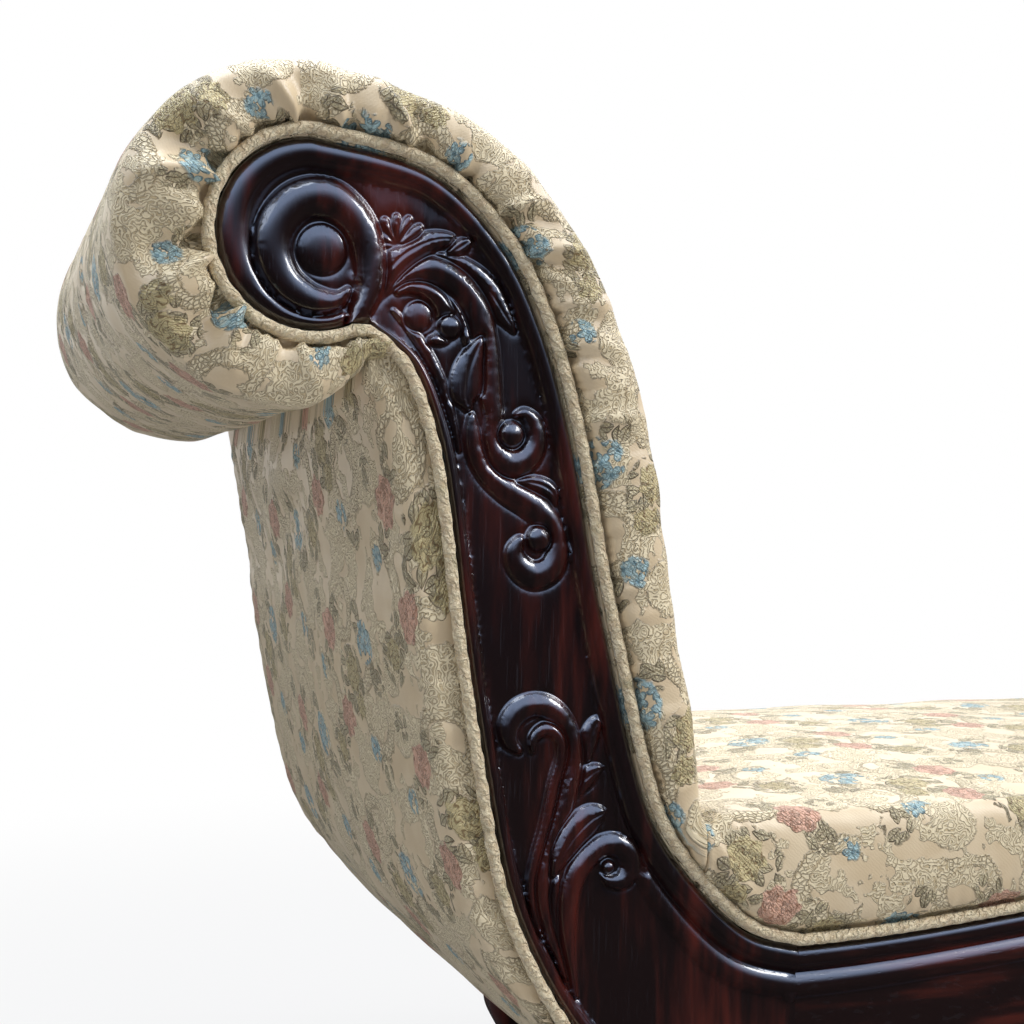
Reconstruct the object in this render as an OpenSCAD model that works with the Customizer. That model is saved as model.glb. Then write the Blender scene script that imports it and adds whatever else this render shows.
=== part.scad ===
// Fainting couch with a high scrolled head end, a low scrolled foot end and no back.
// X runs along the couch with the head end at -X, Y from front (-Y) to back, Z up from the floor.

/* [Seat and rails] */
// Length of the show rails between the corner joints
rail_span = 1001; // [800:1:1300]
// Depth of the couch over the show wood
couch_depth = 610; // [540:1:720]
// Height of the rails' lower edge above the floor
rail_base = 205; // [160:1:260]
// Height of the rails at the corner joints
rail_h = 121; // [100:1:145]
// Rise of the rails' top edge from the joints to the middle
rail_arch = 24; // [6:1:34]
// Length along the rail over which that rise happens
rail_ramp = 400; // [250:1:400]
// Thickness of the show rails and the carved facings
facing_t = 26; // [22:1:34]
// Height of the seat's edge above the rails at the joints
seat_rise = 101; // [85:1:115]
// Crown of the seat above its edge
seat_crown = 16; // [8:1:26]
// Width of the moulded bead along the show wood
bead_w = 15; // [10:1:20]
// Depth of the sunk field inside the bead
field_sink = 8; // [4:1:11]

/* [Head end] */
// Run of the head facing from the joint to the outside of its volute
head_run = 421; // [380:1:460]
// Rise of the head facing above the rail
head_rise = 564; // [480:1:620]
// Radius of the head volute
head_volute_r = 63.5; // [55:0.5:72]
// Padding over the head facing, at its thickest
head_pad_t = 69; // [56:1:80]

/* [Foot end] */
// Run of the foot facing from the joint to the outside of its volute
foot_run = 222; // [205:1:245]
// Rise of the foot facing above the rail
foot_rise = 240; // [215:1:280]
// Radius of the foot volute
foot_volute_r = 44; // [38:0.5:48]
// Padding over the foot facing, at its thickest
foot_pad_t = 36; // [30:1:42]

/* [Upholstery] */
// Thickness of the brocade covers with their lining
cover_t = 2; // [1.2:0.1:3]
// Diameter of the welt cord round the show wood
welt_d = 9; // [6:0.5:11]
// How far the gathered end faces puff out of their seam
end_puff = 9.5; // [5:0.5:13]
// Width of one webbing strap
strap_w = 56; // [44:1:62]
// Thickness of the webbing and of the panels' stiff backing
strap_t = 2.5; // [1.5:0.1:3]
// Thickness of the burlap over the springs
burlap_t = 1.5; // [1:0.1:2.5]
// Thickness of the dust cover under the seat
dust_t = 1; // [0.6:0.1:1.5]
// Diameter of the seat springs' end turns
spring_d = 84; // [70:1:92]
// Diameter of the spring wire
spring_wire_d = 3.6; // [2.8:0.1:4.4]
// Turns of each seat spring
spring_turns = 4; // [3:1:5]
// Springs along the seat
spring_cols = 5; // [4:1:6]
// Springs from front to back
spring_rows = 3; // [2:1:3]

/* [Frame] */
// Thickness of the end frames behind the facings
frame_t = 22; // [18:1:28]
// Thickness of the end rails and seat braces
cross_t = 26; // [20:1:30]
// Height of the end rails
end_rail_h = 98; // [80:1:110]
// Length of the end frames' tongues behind the show rails
tongue_l = 60; // [40:1:80]
// Side of the triangular corner blocks
block_w = 60; // [50:1:70]
// Height of the corner blocks
block_h = 70; // [50:1:85]
// Width of the tacking strips inside the rails
strip_w = 40; // [32:1:46]
// Height of the tacking strips
strip_h = 20; // [16:1:28]
// Height of the seat braces
brace_h = 44; // [34:1:50]
// Diameter of the head end's crest pole
head_pole_d = 76; // [60:1:92]
// Diameter of the foot end's crest pole
foot_pole_d = 46; // [36:1:56]
// Width of the slats across the end frames
slat_w = 42; // [34:1:48]
// Thickness of those slats
slat_t = 18; // [14:1:22]
// Diameter of the joint dowels
dowel_d = 10; // [8:1:12]
// Length of the joint dowels
dowel_l = 70; // [50:1:90]
// Diameter of the facing screws
screw_d = 4.5; // [3.5:0.1:5.5]
// Diameter of the facing screws' heads
screw_head_d = 9; // [7.5:0.1:11]
// Length of the facing screws
screw_l = 34; // [30:1:38]

/* [Legs] */
// Width of a leg at its top block
leg_w = 80; // [66:1:84]
// Height of the leg's top block
leg_block_h = 34; // [28:1:40]
// Diameter of the hanger bolts that hold the legs
leg_bolt_d = 8; // [6:1:10]
// Length of the hanger bolts
leg_bolt_l = 60; // [44:1:66]
// Diameter of the glides under the feet
glide_d = 30; // [22:1:34]
// Thickness of the glides
glide_t = 5; // [4:1:8]

/* [Hidden] */

// Clearance between soft pieces and what they lie on
gap = 0.3;
// How far the pads' flat facets lie off the curved show wood
bed = 1.4;
// How far the seat's stuffing lies under its cover, whose facets run otherwise
slack = 1.2;
// Clearance round dowels, bolts, screws and straps
fit = 0.1;
// How far cuts run past the faces they open
cut = 1;
// Inset of the end frames from the facings' outline
frame_inset = 3;
// Depth of the slats below the frames' edge
slat_drop = 4;
// Recess of the tacking strips above the rails' lower edge
strip_recess = 8;
// Diameter of a tack's head and of its shank, and the shank's length
tack_head_d = 9;
tack_d = 2.4;
tack_l = 12;
// Thickness of the screws' and tacks' heads
screw_head_t = 2.5;
tack_head_t = 1;

mahogany = [0.20, 0.07, 0.045];
hardwood = [0.72, 0.55, 0.36];
brocade = [0.80, 0.73, 0.58];
stuffing = [0.90, 0.86, 0.74];
jute = [0.66, 0.52, 0.32];
steel = [0.62, 0.63, 0.65];
cambric = [0.10, 0.10, 0.11];

// Outline tables, as shares of the end's run, of its rise, and of the rail's height below the joint.
// Inner edge of the head facing, from the joint up to its volute
head_inner_shares = [
    [0, 0, 0], [0.095, 0.023, 0], [0.190, 0.087, 0], [0.264, 0.163, 0], [0.306, 0.254, 0],
    [0.340, 0.363, 0], [0.375, 0.482, 0], [0.413, 0.638, 0], [0.463, 0.775, 0],
    [0.537, 0.885, 0], [0.660, 0.968, 0]
];
// Padding over each of those points
head_inner_pad_shares = [0, 0, 0.3, 0.55, 0.72, 0.77, 0.83, 0.87, 0.83, 0.75, 0.70];
// Outer edge of the head facing, from the notch under its volute down to its heel
head_outer_shares = [
    [0.753, 0.785, 0], [0.686, 0.738, 0], [0.644, 0.654, 0], [0.622, 0.562, 0],
    [0.599, 0.420, 0], [0.568, 0.268, 0], [0.530, 0.115, 0], [0.477, 0.011, 0],
    [0.404, 0, 0.372], [0.314, 0, 0.700], [0.214, 0, 1]
];
// Outside of the head panel at mid depth, beside those points
head_panel_shares = [
    [0.790, 0.690, 0], [0.765, 0.620, 0], [0.751, 0.564, 0], [0.737, 0.500, 0],
    [0.724, 0.411, 0], [0.694, 0.266, 0], [0.651, 0.124, 0], [0.599, 0.025, 0],
    [0.511, 0, 0.264], [0.385, 0, 0.720], [0.268, 0, 1]
];
// The same three edges and the padding of the foot end
foot_inner_shares = [
    [0, 0, 0], [0.135, 0.038, 0], [0.252, 0.129, 0], [0.315, 0.233, 0], [0.356, 0.367, 0],
    [0.396, 0.517, 0], [0.455, 0.683, 0], [0.541, 0.833, 0], [0.658, 0.950, 0]
];
foot_inner_pad_shares = [0, 0, 0.3, 0.55, 0.78, 0.86, 0.92, 0.89, 0.86];
foot_outer_shares = [
    [0.667, 0.658, 0], [0.646, 0.600, 0], [0.634, 0.500, 0], [0.637, 0.375, 0],
    [0.649, 0.250, 0], [0.662, 0.125, 0], [0.662, 0, 0], [0.644, 0, 0.289],
    [0.617, 0, 0.620], [0.599, 0, 1]
];
foot_panel_shares = [
    [0.721, 0.500, 0], [0.730, 0.433, 0], [0.757, 0.350, 0], [0.775, 0.250, 0],
    [0.788, 0.158, 0], [0.784, 0.058, 0], [0.761, 0, 0.100], [0.725, 0, 0.372],
    [0.700, 0, 0.678], [0.686, 0, 0.988]
];
// Padding round the volutes at even steps from their top to where the cover tucks under
volute_pad_shares = [0.77, 0.80, 0.89, 0.97, 1, 0.96, 0.87, 0.78, 0.74, 0.45];
// Angles on the volutes, outwards from the top: end of the cover, start of the notch
volute_top = 90;
cover_end = -112;
notch_start = -114;
// Facets between outline points on the show wood and on the soft pieces, and how many such
// stretches the cover's turn round a volute takes
wood_n = 4;
soft_n = 2;
volute_stretches = 5;

// Edges of the covers from the welt to full size: depth as a share of end_puff, negative where
// it stands proud, and height as a share of what the padding leaves above the welt. The panels
// stand fuller at the back of the couch.
cover_edge_shares = [[-0.72, 0.12], [-1, 0.45], [-0.35, 0.86], [2.4, 1]];
panel_edge_shares = [[0.45, 0.45], [3, 0.60], [12, 0.80], [26, 1]];
panel_back_shares = [[0.45, 0.45], [1.6, 0.78], [5, 0.96], [14, 1]];
seat_edge_shares = [[-0.72, 0.12], [-1, 0.52], [-0.2, 0.92], [2.6, 1]];
// Crown of the seat across its depth: place as a share of half the depth, height of the crown
crown_shares = [[-0.55, 0.75], [-0.2, 0.97], [0.2, 0.97], [0.55, 0.75]];
// Length over which the crown grows from the seat's ends, as a share of the couch's depth
crown_run_share = 0.35;
// Levels of the seat pad between the burlap and its edge, and of the edge rolls below
pad_level_shares = [0, 0.25, 0.5, 0.75, 1];
roll_level_shares = [0, 0.4, 0.7, 1];
// Stations of the seat over the rails, and over each end's rise
rail_stations = 12;
end_station_shares = [1, 0.66, 0.33];

// Slats, as shares of the inner edge's points from the joint to the end of the cover
head_slat_shares = [0.28, 0.47];
foot_slat_shares = [0.30];
// Facing screws, as shares like the outline's
head_screw_shares = [[0.15, 0, 0.60], [0.40, 0.10, 0], [0.47, 0.35, 0], [0.55, 0.62, 0]];
foot_screw_shares = [[0.28, 0, 0.60], [0.42, 0.10, 0], [0.50, 0.42, 0]];
// Dowels across each rail joint, as shares of the rail's height
dowel_shares = [0.30, 0.70];
// Radius and height of the volute's carved boss, as shares of its radius and of the field's depth
boss_shares = [0.42, 1.4];
// Waist of the seat springs, as a share of their end turns
spring_waist_share = 0.3;
// Outline of a leg: height, lean towards the corner and width, as shares of the leg's length
// below its block, of the block's width, and of the block's width again
leg_shares = [
    [0, 0.10, 0.50], [0.07, 0.11, 0.60], [0.16, 0.04, 0.48], [0.30, -0.04, 0.42],
    [0.46, -0.03, 0.50], [0.62, 0.04, 0.68], [0.78, 0.10, 0.90], [0.90, 0.07, 0.98], [1, 0, 1]
];
leg_sides = 12;
// Squareness of a leg's section, from 1, round, to 0, square
leg_round_share = 0.55;

// Derived sizes and places
y_out = couch_depth / 2;
y_in = y_out - facing_t;
y_rib = y_in - frame_t;
rail_top = rail_base + rail_h;
welt_r = welt_d / 2;

// The two ends as lists of their values
head = [head_run, head_rise, head_volute_r, head_pad_t, head_inner_shares,
    head_inner_pad_shares, head_outer_shares, head_panel_shares];
foot = [foot_run, foot_rise, foot_volute_r, foot_pad_t, foot_inner_shares,
    foot_inner_pad_shares, foot_outer_shares, foot_panel_shares];
function run(e) = e[0];
function rise(e) = e[1];
function volute_r(e) = e[2];
function pad_t(e) = e[3];
function inner_shares(e) = e[4];
function inner_pad_shares(e) = e[5];
function outer_shares(e) = e[6];
function panel_shares(e) = e[7];

function lerp(a, b, t) = a + (b - a) * t;
function unit(v) = v / norm(v);
function smooth(t) = let(c = min(max(t, 0), 1)) c * c * (3 - 2 * c);
function reversed(p) = [for (i = [len(p) - 1:-1:0]) p[i]];
function cubic(a, b, c, d, t) =
    0.5 * (2 * b + (c - a) * t + (2 * a - 5 * b + 4 * c - d) * t * t + (3 * b - a - 3 * c + d) * t * t * t);
// Smooth curve through the points or numbers p, with n steps between neighbours
function spline(p, n) = let(last = len(p) - 1) concat(
    [for (i = [0:last - 1], k = [0:n - 1])
        cubic(p[max(i - 1, 0)], p[i], p[i + 1], p[min(i + 2, last)], k / n)],
    [p[last]]);
// Outward side of a path at its point i, and the path moved that way by w
function side(p, i) = let(d = unit(p[min(i + 1, len(p) - 1)] - p[max(i - 1, 0)])) [-d[1], d[0]];
function shift(p, w) = [for (i = [0:len(p) - 1]) p[i] + side(p, i) * w];
function placed(e, shares) = [for (s = shares) [s[0] * run(e), s[1] * rise(e) - s[2] * rail_h]];

// Outlines of an end in its own plane: u outwards and v up from the joint at the rail's top
function volute(e) = [run(e) - volute_r(e), rise(e) - volute_r(e)];
function on_volute(e, a, extra = 0) = volute(e) + (volute_r(e) + extra) * [cos(a), sin(a)];
// Wood outline from the joint to the end of the cover
function inner_curve(e, n) = concat(
    spline(concat(placed(e, inner_shares(e)), [on_volute(e, volute_top)]), n),
    [for (i = [1:volute_stretches * n])
        on_volute(e, lerp(volute_top, cover_end, i / (volute_stretches * n)))]);
function volute_pad(t) =
    let(last = len(volute_pad_shares) - 1) lookup(t * last, [for (k = [0:last]) [k, volute_pad_shares[k]]]);
function inner_pad(e, n) = pad_t(e) * concat(
    spline(concat(inner_pad_shares(e), [volute_pad_shares[0]]), n),
    [for (i = [1:volute_stretches * n]) volute_pad(i / (volute_stretches * n))]);
// Wood outline from the end of the cover round the notch and down to the heel
function outer_curve(e, n) =
    concat([on_volute(e, notch_start)], spline(placed(e, outer_shares(e)), n));
// Base line and outside of a panel, from just below the notch down
function panel_base(e) = let(c = outer_curve(e, soft_n))
    shift([for (i = [2:len(c) - 1]) c[i]], bed);
function panel_tops(e) = let(t = spline(placed(e, panel_shares(e)), soft_n))
    [for (i = [1:len(t) - 1]) t[i]];
function wood_outline(e) =
    concat(inner_curve(e, wood_n), outer_curve(e, wood_n), [[0, -rail_h]]);
// Sunk field of a facing, open towards the rail's own field
function field_outline(e) = let(outer = shift(outer_curve(e, wood_n), -bead_w)) concat(
    [[-cut, -bead_w]], shift(inner_curve(e, wood_n), -bead_w),
    [for (p = outer) if (p[1] > bead_w - rail_h) p],
    [[outer[len(outer) - 1][0], bead_w - rail_h], [-cut, bead_w - rail_h]]);
// End frame: the facing's outline drawn in, with a tongue behind the rail
function frame_outline(e) = concat(
    [[-tongue_l, -tongue_l / 2]],
    shift(inner_curve(e, wood_n), -frame_inset), shift(outer_curve(e, wood_n), -frame_inset),
    [[-tongue_l, -rail_h]]);
// Band of webbing or backing on the frames' edge, along the points a to b of a curve
function band(curve, a, b) = concat(
    [for (i = [a:b]) curve[i] + side(curve, i) * (strap_t - frame_inset)],
    [for (i = [b:-1:a]) curve[i] - side(curve, i) * frame_inset]);

// Outside of an end's cover. Its first points fan out from where it meets the seat.
function cover_points(e) = let(c = inner_curve(e, soft_n), p = inner_pad(e, soft_n))
    [for (i = [0:len(c) - 1]) c[i] + side(c, i) * p[i]];
cover_first = 2 * soft_n;
function join_point(e) = let(t = cover_points(e))
    min([for (i = [cover_first:len(t) - 1]) if (t[i][1] > seat_rise + gap) i]);
function cover_tops(e) = let(t = cover_points(e), j = join_point(e), foot_of = [t[j][0], seat_rise])
    [for (i = [cover_first:len(t) - 1])
        i < j ? lerp(foot_of, t[j], (i - cover_first) / (j - cover_first)) : t[i]];
function cover_base(e) = let(c = shift(inner_curve(e, soft_n), bed))
    [for (i = [cover_first:len(c) - 1]) c[i]];
// How far the seat runs over an end's rise
function seat_reach(e) = min(cover_base(e)[0][0], cover_tops(e)[0][0]) - gap;
function rise_at(e, u) = lookup(u, [for (i = [0:cover_first + 1]) inner_curve(e, soft_n)[i]]);

// Places along X
head_x = -(head_run + head_pad_t + rail_span + foot_run + foot_pad_t) / 2 + head_run + head_pad_t;
foot_x = head_x + rail_span;
function arch_at(x) = rail_arch * smooth(min(x - head_x, foot_x - x) / rail_ramp);

// Base line and edge of the seat from the head end to the foot end, as [x, z]
seat_base = concat(
    [for (s = end_station_shares)
        [head_x - s * seat_reach(head), rail_top + rise_at(head, s * seat_reach(head)) + bed]],
    [for (i = [0:rail_stations])
        let(x = lerp(head_x, foot_x, i / rail_stations)) [x, rail_top + arch_at(x) + bed]],
    [for (s = reversed(end_station_shares))
        [foot_x + s * seat_reach(foot), rail_top + rise_at(foot, s * seat_reach(foot)) + bed]]);
seat_tops = [for (p = seat_base) [p[0], rail_top + seat_rise]];
function crown_at(x) = let(ends = [seat_base[0][0], seat_base[len(seat_base) - 1][0]])
    max(gap, seat_crown * smooth(min(x - ends[0], ends[1] - x) / (crown_run_share * couch_depth)));
// Level of the burlap: just over the wood where the seat ends
deck = rail_top + max(
    placed(head, head_inner_shares)[2][1], placed(foot, foot_inner_shares)[2][1]) + bed + gap;
// Levels of the webbing and the springs
strip_z = rail_base + strip_recess;
webbing_top = strip_z + strap_t;
spring_top = deck - gap - burlap_t;
// The end rails' inner faces, the bolts and the legs, outwards from the joints
function end_rail_u(e) = let(s = outer_shares(e)) s[len(s) - 1][0] * run(e) - cross_t - bead_w + cut;
function leg_u(e) = end_rail_u(e) - block_w / 2;
leg_y = y_rib - block_w / 4;
leg_l = rail_base - glide_t;

// Section of a padded piece with padding p, from its back seam over the top to its front seam
function half_section(p, edge) = let(low = welt_d + gap) concat(
    [[y_out - welt_r, 0], [y_out - welt_r, low]],
    [for (s = edge) [y_out - s[0] * end_puff, lerp(low, p, s[1])]]);
function section(p, edge, crown = 0, back = []) = let(h = half_section(p, edge)) concat(
    [for (q = back == [] ? h : half_section(p, back)) [-q[0], q[1]]],
    crown > 0 ? [for (s = crown_shares) [s[0] * y_out, p + s[1] * crown]] : [],
    reversed(h));
function ring(b, t, points) = let(d = unit(t - b)) [for (q = points) [each b + d * q[1], q[0]]];

// Solid through rings of points. A ring starts low at the back and ends low at the front.
function cap(s, j, m) =
    [[s + j, s + j + 1, s + m - 2 - j], [s + j, s + m - 2 - j, s + m - 1 - j]];
module loft(rings) {
    m = len(rings[0]);
    last = len(rings) - 1;
    polyhedron(
        points = [for (r = rings) each r],
        faces = concat(
            [for (i = [0:last - 1], j = [0:m - 1])
                let(a = i * m + j, b = i * m + (j + 1) % m)
                each [[a, a + m, b + m], [a, b + m, b]]],
            [for (j = [0:m / 2 - 2]) each cap(0, j, m)],
            [for (j = [0:m / 2 - 2]) for (f = cap(last * m, j, m)) reversed(f)]));
}
// Round cord or wire along a path, with its rings square to it
module cord(path, r, sides) {
    last = len(path) - 1;
    loft([for (i = [0:last])
        let(t = unit(path[min(i + 1, last)] - path[max(i - 1, 0)]),
            b = unit(cross(t, [0, 0, 1])), n = cross(b, t))
        [for (k = [0:sides - 1])
            path[i] + r * (cos(360 * k / sides) * b - sin(360 * k / sides) * n)]]);
}
module skin(base, tops, edge, crowns = [], back = [])
    loft([for (i = [0:len(base) - 1])
        let(s = section(norm(tops[i] - base[i]), edge, crowns == [] ? 0 : crowns[i], back))
        ring(base[i], tops[i], concat(s, reversed(shift(s, -cover_t))))]);
module filling(base, tops, edge, back = [])
    loft([for (i = [0:len(base) - 1]) ring(base[i], tops[i],
        shift(section(norm(tops[i] - base[i]), edge, 0, back), -cover_t - gap))]);

// Frames of reference: an end's outlines stand in the XZ plane, its depth goes to the front
module at_joint(e) {
    if (e == head) translate([head_x, 0, 0]) mirror([1, 0, 0]) children();
    else translate([foot_x, 0, 0]) children();
}
module at_end(e) at_joint(e) translate([0, 0, rail_top]) rotate([90, 0, 0]) children();
module board(e, y0, y1) at_end(e) translate([0, 0, y0]) linear_extrude(y1 - y0) children();
module to_back() mirror([0, 1, 0]) children();
module both_sides() {
    children();
    to_back() children();
}

// Show wood
module rail_shape(y0, y1, inset, over)
    rotate([90, 0, 0]) translate([0, 0, y0]) linear_extrude(y1 - y0) polygon(concat(
        [[head_x - over, rail_top - inset]],
        [for (i = [1:rail_stations * wood_n - 1])
            let(x = lerp(head_x, foot_x, i / (rail_stations * wood_n))) [x, rail_top + arch_at(x) - inset]],
        [[foot_x + over, rail_top - inset], [foot_x + over, rail_base + inset],
            [head_x - over, rail_base + inset]]));
module rail() color(mahogany) difference() {
    rail_shape(y_in, y_out, 0, 0);
    rail_shape(y_out - field_sink, y_out + cut, bead_w, cut);
    for (e = [head, foot]) dowels(e, dowel_d / 2 + fit, dowel_l / 2 + fit);
}
module facing(e) color(mahogany) {
    difference() {
        board(e, y_in, y_out) polygon(wood_outline(e));
        board(e, y_out - field_sink, y_out + cut) polygon(field_outline(e));
        dowels(e, dowel_d / 2 + fit, dowel_l / 2 + fit);
        screws(e, fit);
    }
    board(e, y_out - field_sink, y_out - field_sink + boss_shares[1] * field_sink)
        translate(volute(e)) circle(r = boss_shares[0] * volute_r(e), $fn = 48);
}
module front_rail() rail();
module back_rail() to_back() rail();
module head_facing_front() facing(head);
module head_facing_back() to_back() facing(head);
module foot_facing_front() facing(foot);
module foot_facing_back() to_back() facing(foot);

// Dowels across a rail joint, and screws from an end frame into its facing
module dowels(e, r, half_l)
    for (s = dowel_shares) at_joint(e)
        translate([0, -(y_in + y_out - field_sink) / 2, rail_top - s * rail_h])
        rotate([0, 90, 0]) cylinder(h = 2 * half_l, r = r, center = true, $fn = 24);
module rail_dowels() color(hardwood)
    both_sides() for (e = [head, foot]) dowels(e, dowel_d / 2, dowel_l / 2);
module screws(e, play) {
    for (p = placed(e, e == head ? head_screw_shares : foot_screw_shares)) at_end(e)
        translate([p[0], p[1], y_rib]) {
            cylinder(h = screw_l + play, d = screw_d + 2 * play, $fn = 24);
            translate([0, 0, -play]) cylinder(
                h = screw_head_t + 2 * play, d = screw_head_d + 2 * play, $fn = 24);
        }
}
module facing_screws() color(steel) both_sides() for (e = [head, foot]) screws(e, 0);

// Frame
module frame(e) color(hardwood) difference() {
    board(e, y_rib, y_in) polygon(frame_outline(e));
    screws(e, fit);
}
module head_frame_front() frame(head);
module head_frame_back() to_back() frame(head);
module foot_frame_front() frame(foot);
module foot_frame_back() to_back() frame(foot);
module end_rail(e) color(hardwood) at_joint(e)
    translate([end_rail_u(e), -y_rib, rail_base]) cube([cross_t, 2 * y_rib, end_rail_h]);
module head_end_rail() end_rail(head);
module foot_end_rail() end_rail(foot);
module crest_pole(e, d) color(hardwood)
    board(e, -y_rib, y_rib) translate(volute(e)) circle(d = d, $fn = 48);
module head_crest_pole() crest_pole(head, head_pole_d);
module foot_crest_pole() crest_pole(foot, foot_pole_d);
module slats(e, shares) color(hardwood) {
    c = inner_curve(e, wood_n);
    for (s = shares) {
        i = round(s * (len(c) - 1));
        n = side(c, i);
        board(e, -y_rib, y_rib)
            translate(c[i] - n * (frame_inset + slat_drop + slat_t / 2))
            rotate(atan2(n[1], n[0])) square([slat_t, slat_w], center = true);
    }
}
module head_slats() slats(head, head_slat_shares);
module foot_slats() slats(foot, foot_slat_shares);

function spring_x(i) = lerp(head_x, foot_x, (i + 0.5) / spring_cols);
function spring_y(j) = (j - (spring_rows - 1) / 2) * spring_row_pitch;
spring_row_pitch = (y_rib - strip_w) * 2 / 3;
brace_x = [(spring_x(0) + spring_x(1)) / 2, (spring_x(spring_cols - 2) + spring_x(spring_cols - 1)) / 2];
module seat_braces() color(hardwood)
    for (x = brace_x) translate([x - cross_t / 2, -y_in, strip_z + strip_h])
        cube([cross_t, 2 * y_in, brace_h]);
module corner_blocks() color(hardwood) both_sides() for (e = [head, foot]) at_joint(e) difference() {
    translate([0, 0, rail_base]) linear_extrude(block_h) polygon(
        [[end_rail_u(e), -y_rib], [end_rail_u(e), block_w - y_rib], [end_rail_u(e) - block_w, -y_rib]]);
    leg_bolt(e, fit);
}
module tacking_strips() color(hardwood) {
    strip_end = foot_x - tongue_l - fit;
    both_sides() difference() {
        translate([head_x + tongue_l + fit, -y_in, strip_z])
            cube([strip_end - head_x - tongue_l - fit, strip_w, strip_h]);
        long_tacks(fit);
    }
    for (e = [head, foot]) at_joint(e)
        translate([end_rail_u(e) - strip_w / 2, block_w + fit - y_rib, webbing_top])
        cube([strip_w / 2, 2 * (y_rib - block_w - fit), strip_h]);
}

// Legs
module leg_bolt(e, play) translate([leg_u(e), -leg_y, rail_base - leg_bolt_l / 2 - play])
    cylinder(h = leg_bolt_l + 2 * play, d = leg_bolt_d + 2 * play, $fn = 24);
module leg_bolts() color(steel) both_sides() for (e = [head, foot]) at_joint(e) leg_bolt(e, 0);
// Rounded square of width w, with the unit circle's points pushed towards its corners
function leg_ring(w) = [for (k = [0:leg_sides - 1])
    let(a = 360 * (k + 0.5) / leg_sides, r = pow(pow(abs(cos(a)), 2 / leg_round_share)
        + pow(abs(sin(a)), 2 / leg_round_share), -leg_round_share / 2))
    w / 2 * r * [cos(a), sin(a)]];
function leg_lean(s) = s * leg_w * [1, -1] / sqrt(2);
module leg(e) color(mahogany) at_joint(e) difference() {
    translate([leg_u(e), -leg_y, 0]) union() {
        translate([-leg_w / 2, -leg_w / 2, rail_base - leg_block_h])
            cube([leg_w, leg_w, leg_block_h]);
        translate([0, 0, glide_t]) loft([for (s = leg_shares)
            [for (q = leg_ring(s[2] * leg_w)) [each q + leg_lean(s[1]), s[0] * (leg_l - leg_block_h)]]]);
    }
    leg_bolt(e, fit);
}
module leg_head_front() leg(head);
module leg_head_back() to_back() leg(head);
module leg_foot_front() leg(foot);
module leg_foot_back() to_back() leg(foot);
module foot_glides() color(steel) both_sides() for (e = [head, foot]) at_joint(e)
    translate([leg_u(e), -leg_y, 0]) translate(leg_lean(leg_shares[0][1]))
        cylinder(h = glide_t, d = glide_d, $fn = 32);

// Seat
long_straps = 2 * spring_rows - 1;
module seat_webbing_long() color(jute)
    for (j = [0:long_straps - 1]) translate([
        head_x - end_rail_u(head) + fit, (j - (long_straps - 1) / 2) * spring_row_pitch / 2 - strap_w / 2,
        strip_z]) cube([rail_span + end_rail_u(head) + end_rail_u(foot) - 2 * fit, strap_w, strap_t]);
module seat_webbing_cross() color(jute)
    for (i = [0:spring_cols - 1])
        translate([spring_x(i) - strap_w / 2, -y_rib, strip_z - strap_t]) cube([strap_w, 2 * y_rib, strap_t]);
spring_rings = 8;
spring_sides = 4;
module seat_springs() color(steel) {
    steps = spring_rings * spring_turns;
    r = spring_wire_d / 2;
    path = [for (i = [0:steps])
        let(t = i / steps, w = (spring_d / 2 - r) * (1 - spring_waist_share * sin(180 * t)))
        [w * cos(360 * spring_turns * t), w * sin(360 * spring_turns * t),
            lerp(webbing_top + r, spring_top - r, smooth(t))]];
    for (i = [0:spring_cols - 1], j = [0:spring_rows - 1])
        translate([spring_x(i), spring_y(j), 0]) cord(path, r, spring_sides);
}
module seat_burlap() color(jute)
    translate([seat_base[0][0], gap - y_rib, spring_top])
    cube([seat_base[len(seat_base) - 1][0] - seat_base[0][0], 2 * (y_rib - gap), burlap_t]);
// Outside of the stuffing under the seat cover, and its depth at height h over the base line
function stuffed(i) = shift(section(
    seat_tops[i][1] - seat_base[i][1], seat_edge_shares, crown_at(seat_base[i][0])), -cover_t - slack);
function depth_at(points, h) = lookup(h, [for (k = [0:5]) [points[k][1], points[k][0]]]);
module seat_edge_rolls() color(stuffing) both_sides() rotate([90, 0, 0])
    loft([for (i = [0:len(seat_base) - 1])
        let(s = stuffed(i), levels = [for (t = roll_level_shares) t * (deck - gap - seat_base[i][1])])
        ring(seat_base[i], seat_tops[i], concat(
            [for (h = levels) [depth_at(s, h), h]], [for (h = reversed(levels)) [-y_rib, h]]))]);
module seat_pad() color(stuffing) rotate([90, 0, 0])
    loft([for (i = [0:len(seat_base) - 1])
        let(s = stuffed(i), low = deck - seat_base[i][1],
            half = [for (t = pad_level_shares) let(h = lerp(low, s[5][1], t)) [depth_at(s, h), h]])
        ring(seat_base[i], seat_tops[i],
            concat(half, [for (k = [6:9]) s[k]], [for (q = reversed(half)) [-q[0], q[1]]]))]);
module seat_cover() color(brocade) rotate([90, 0, 0])
    skin(seat_base, seat_tops, seat_edge_shares,
        [for (p = seat_base) crown_at(p[0])]);

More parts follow.
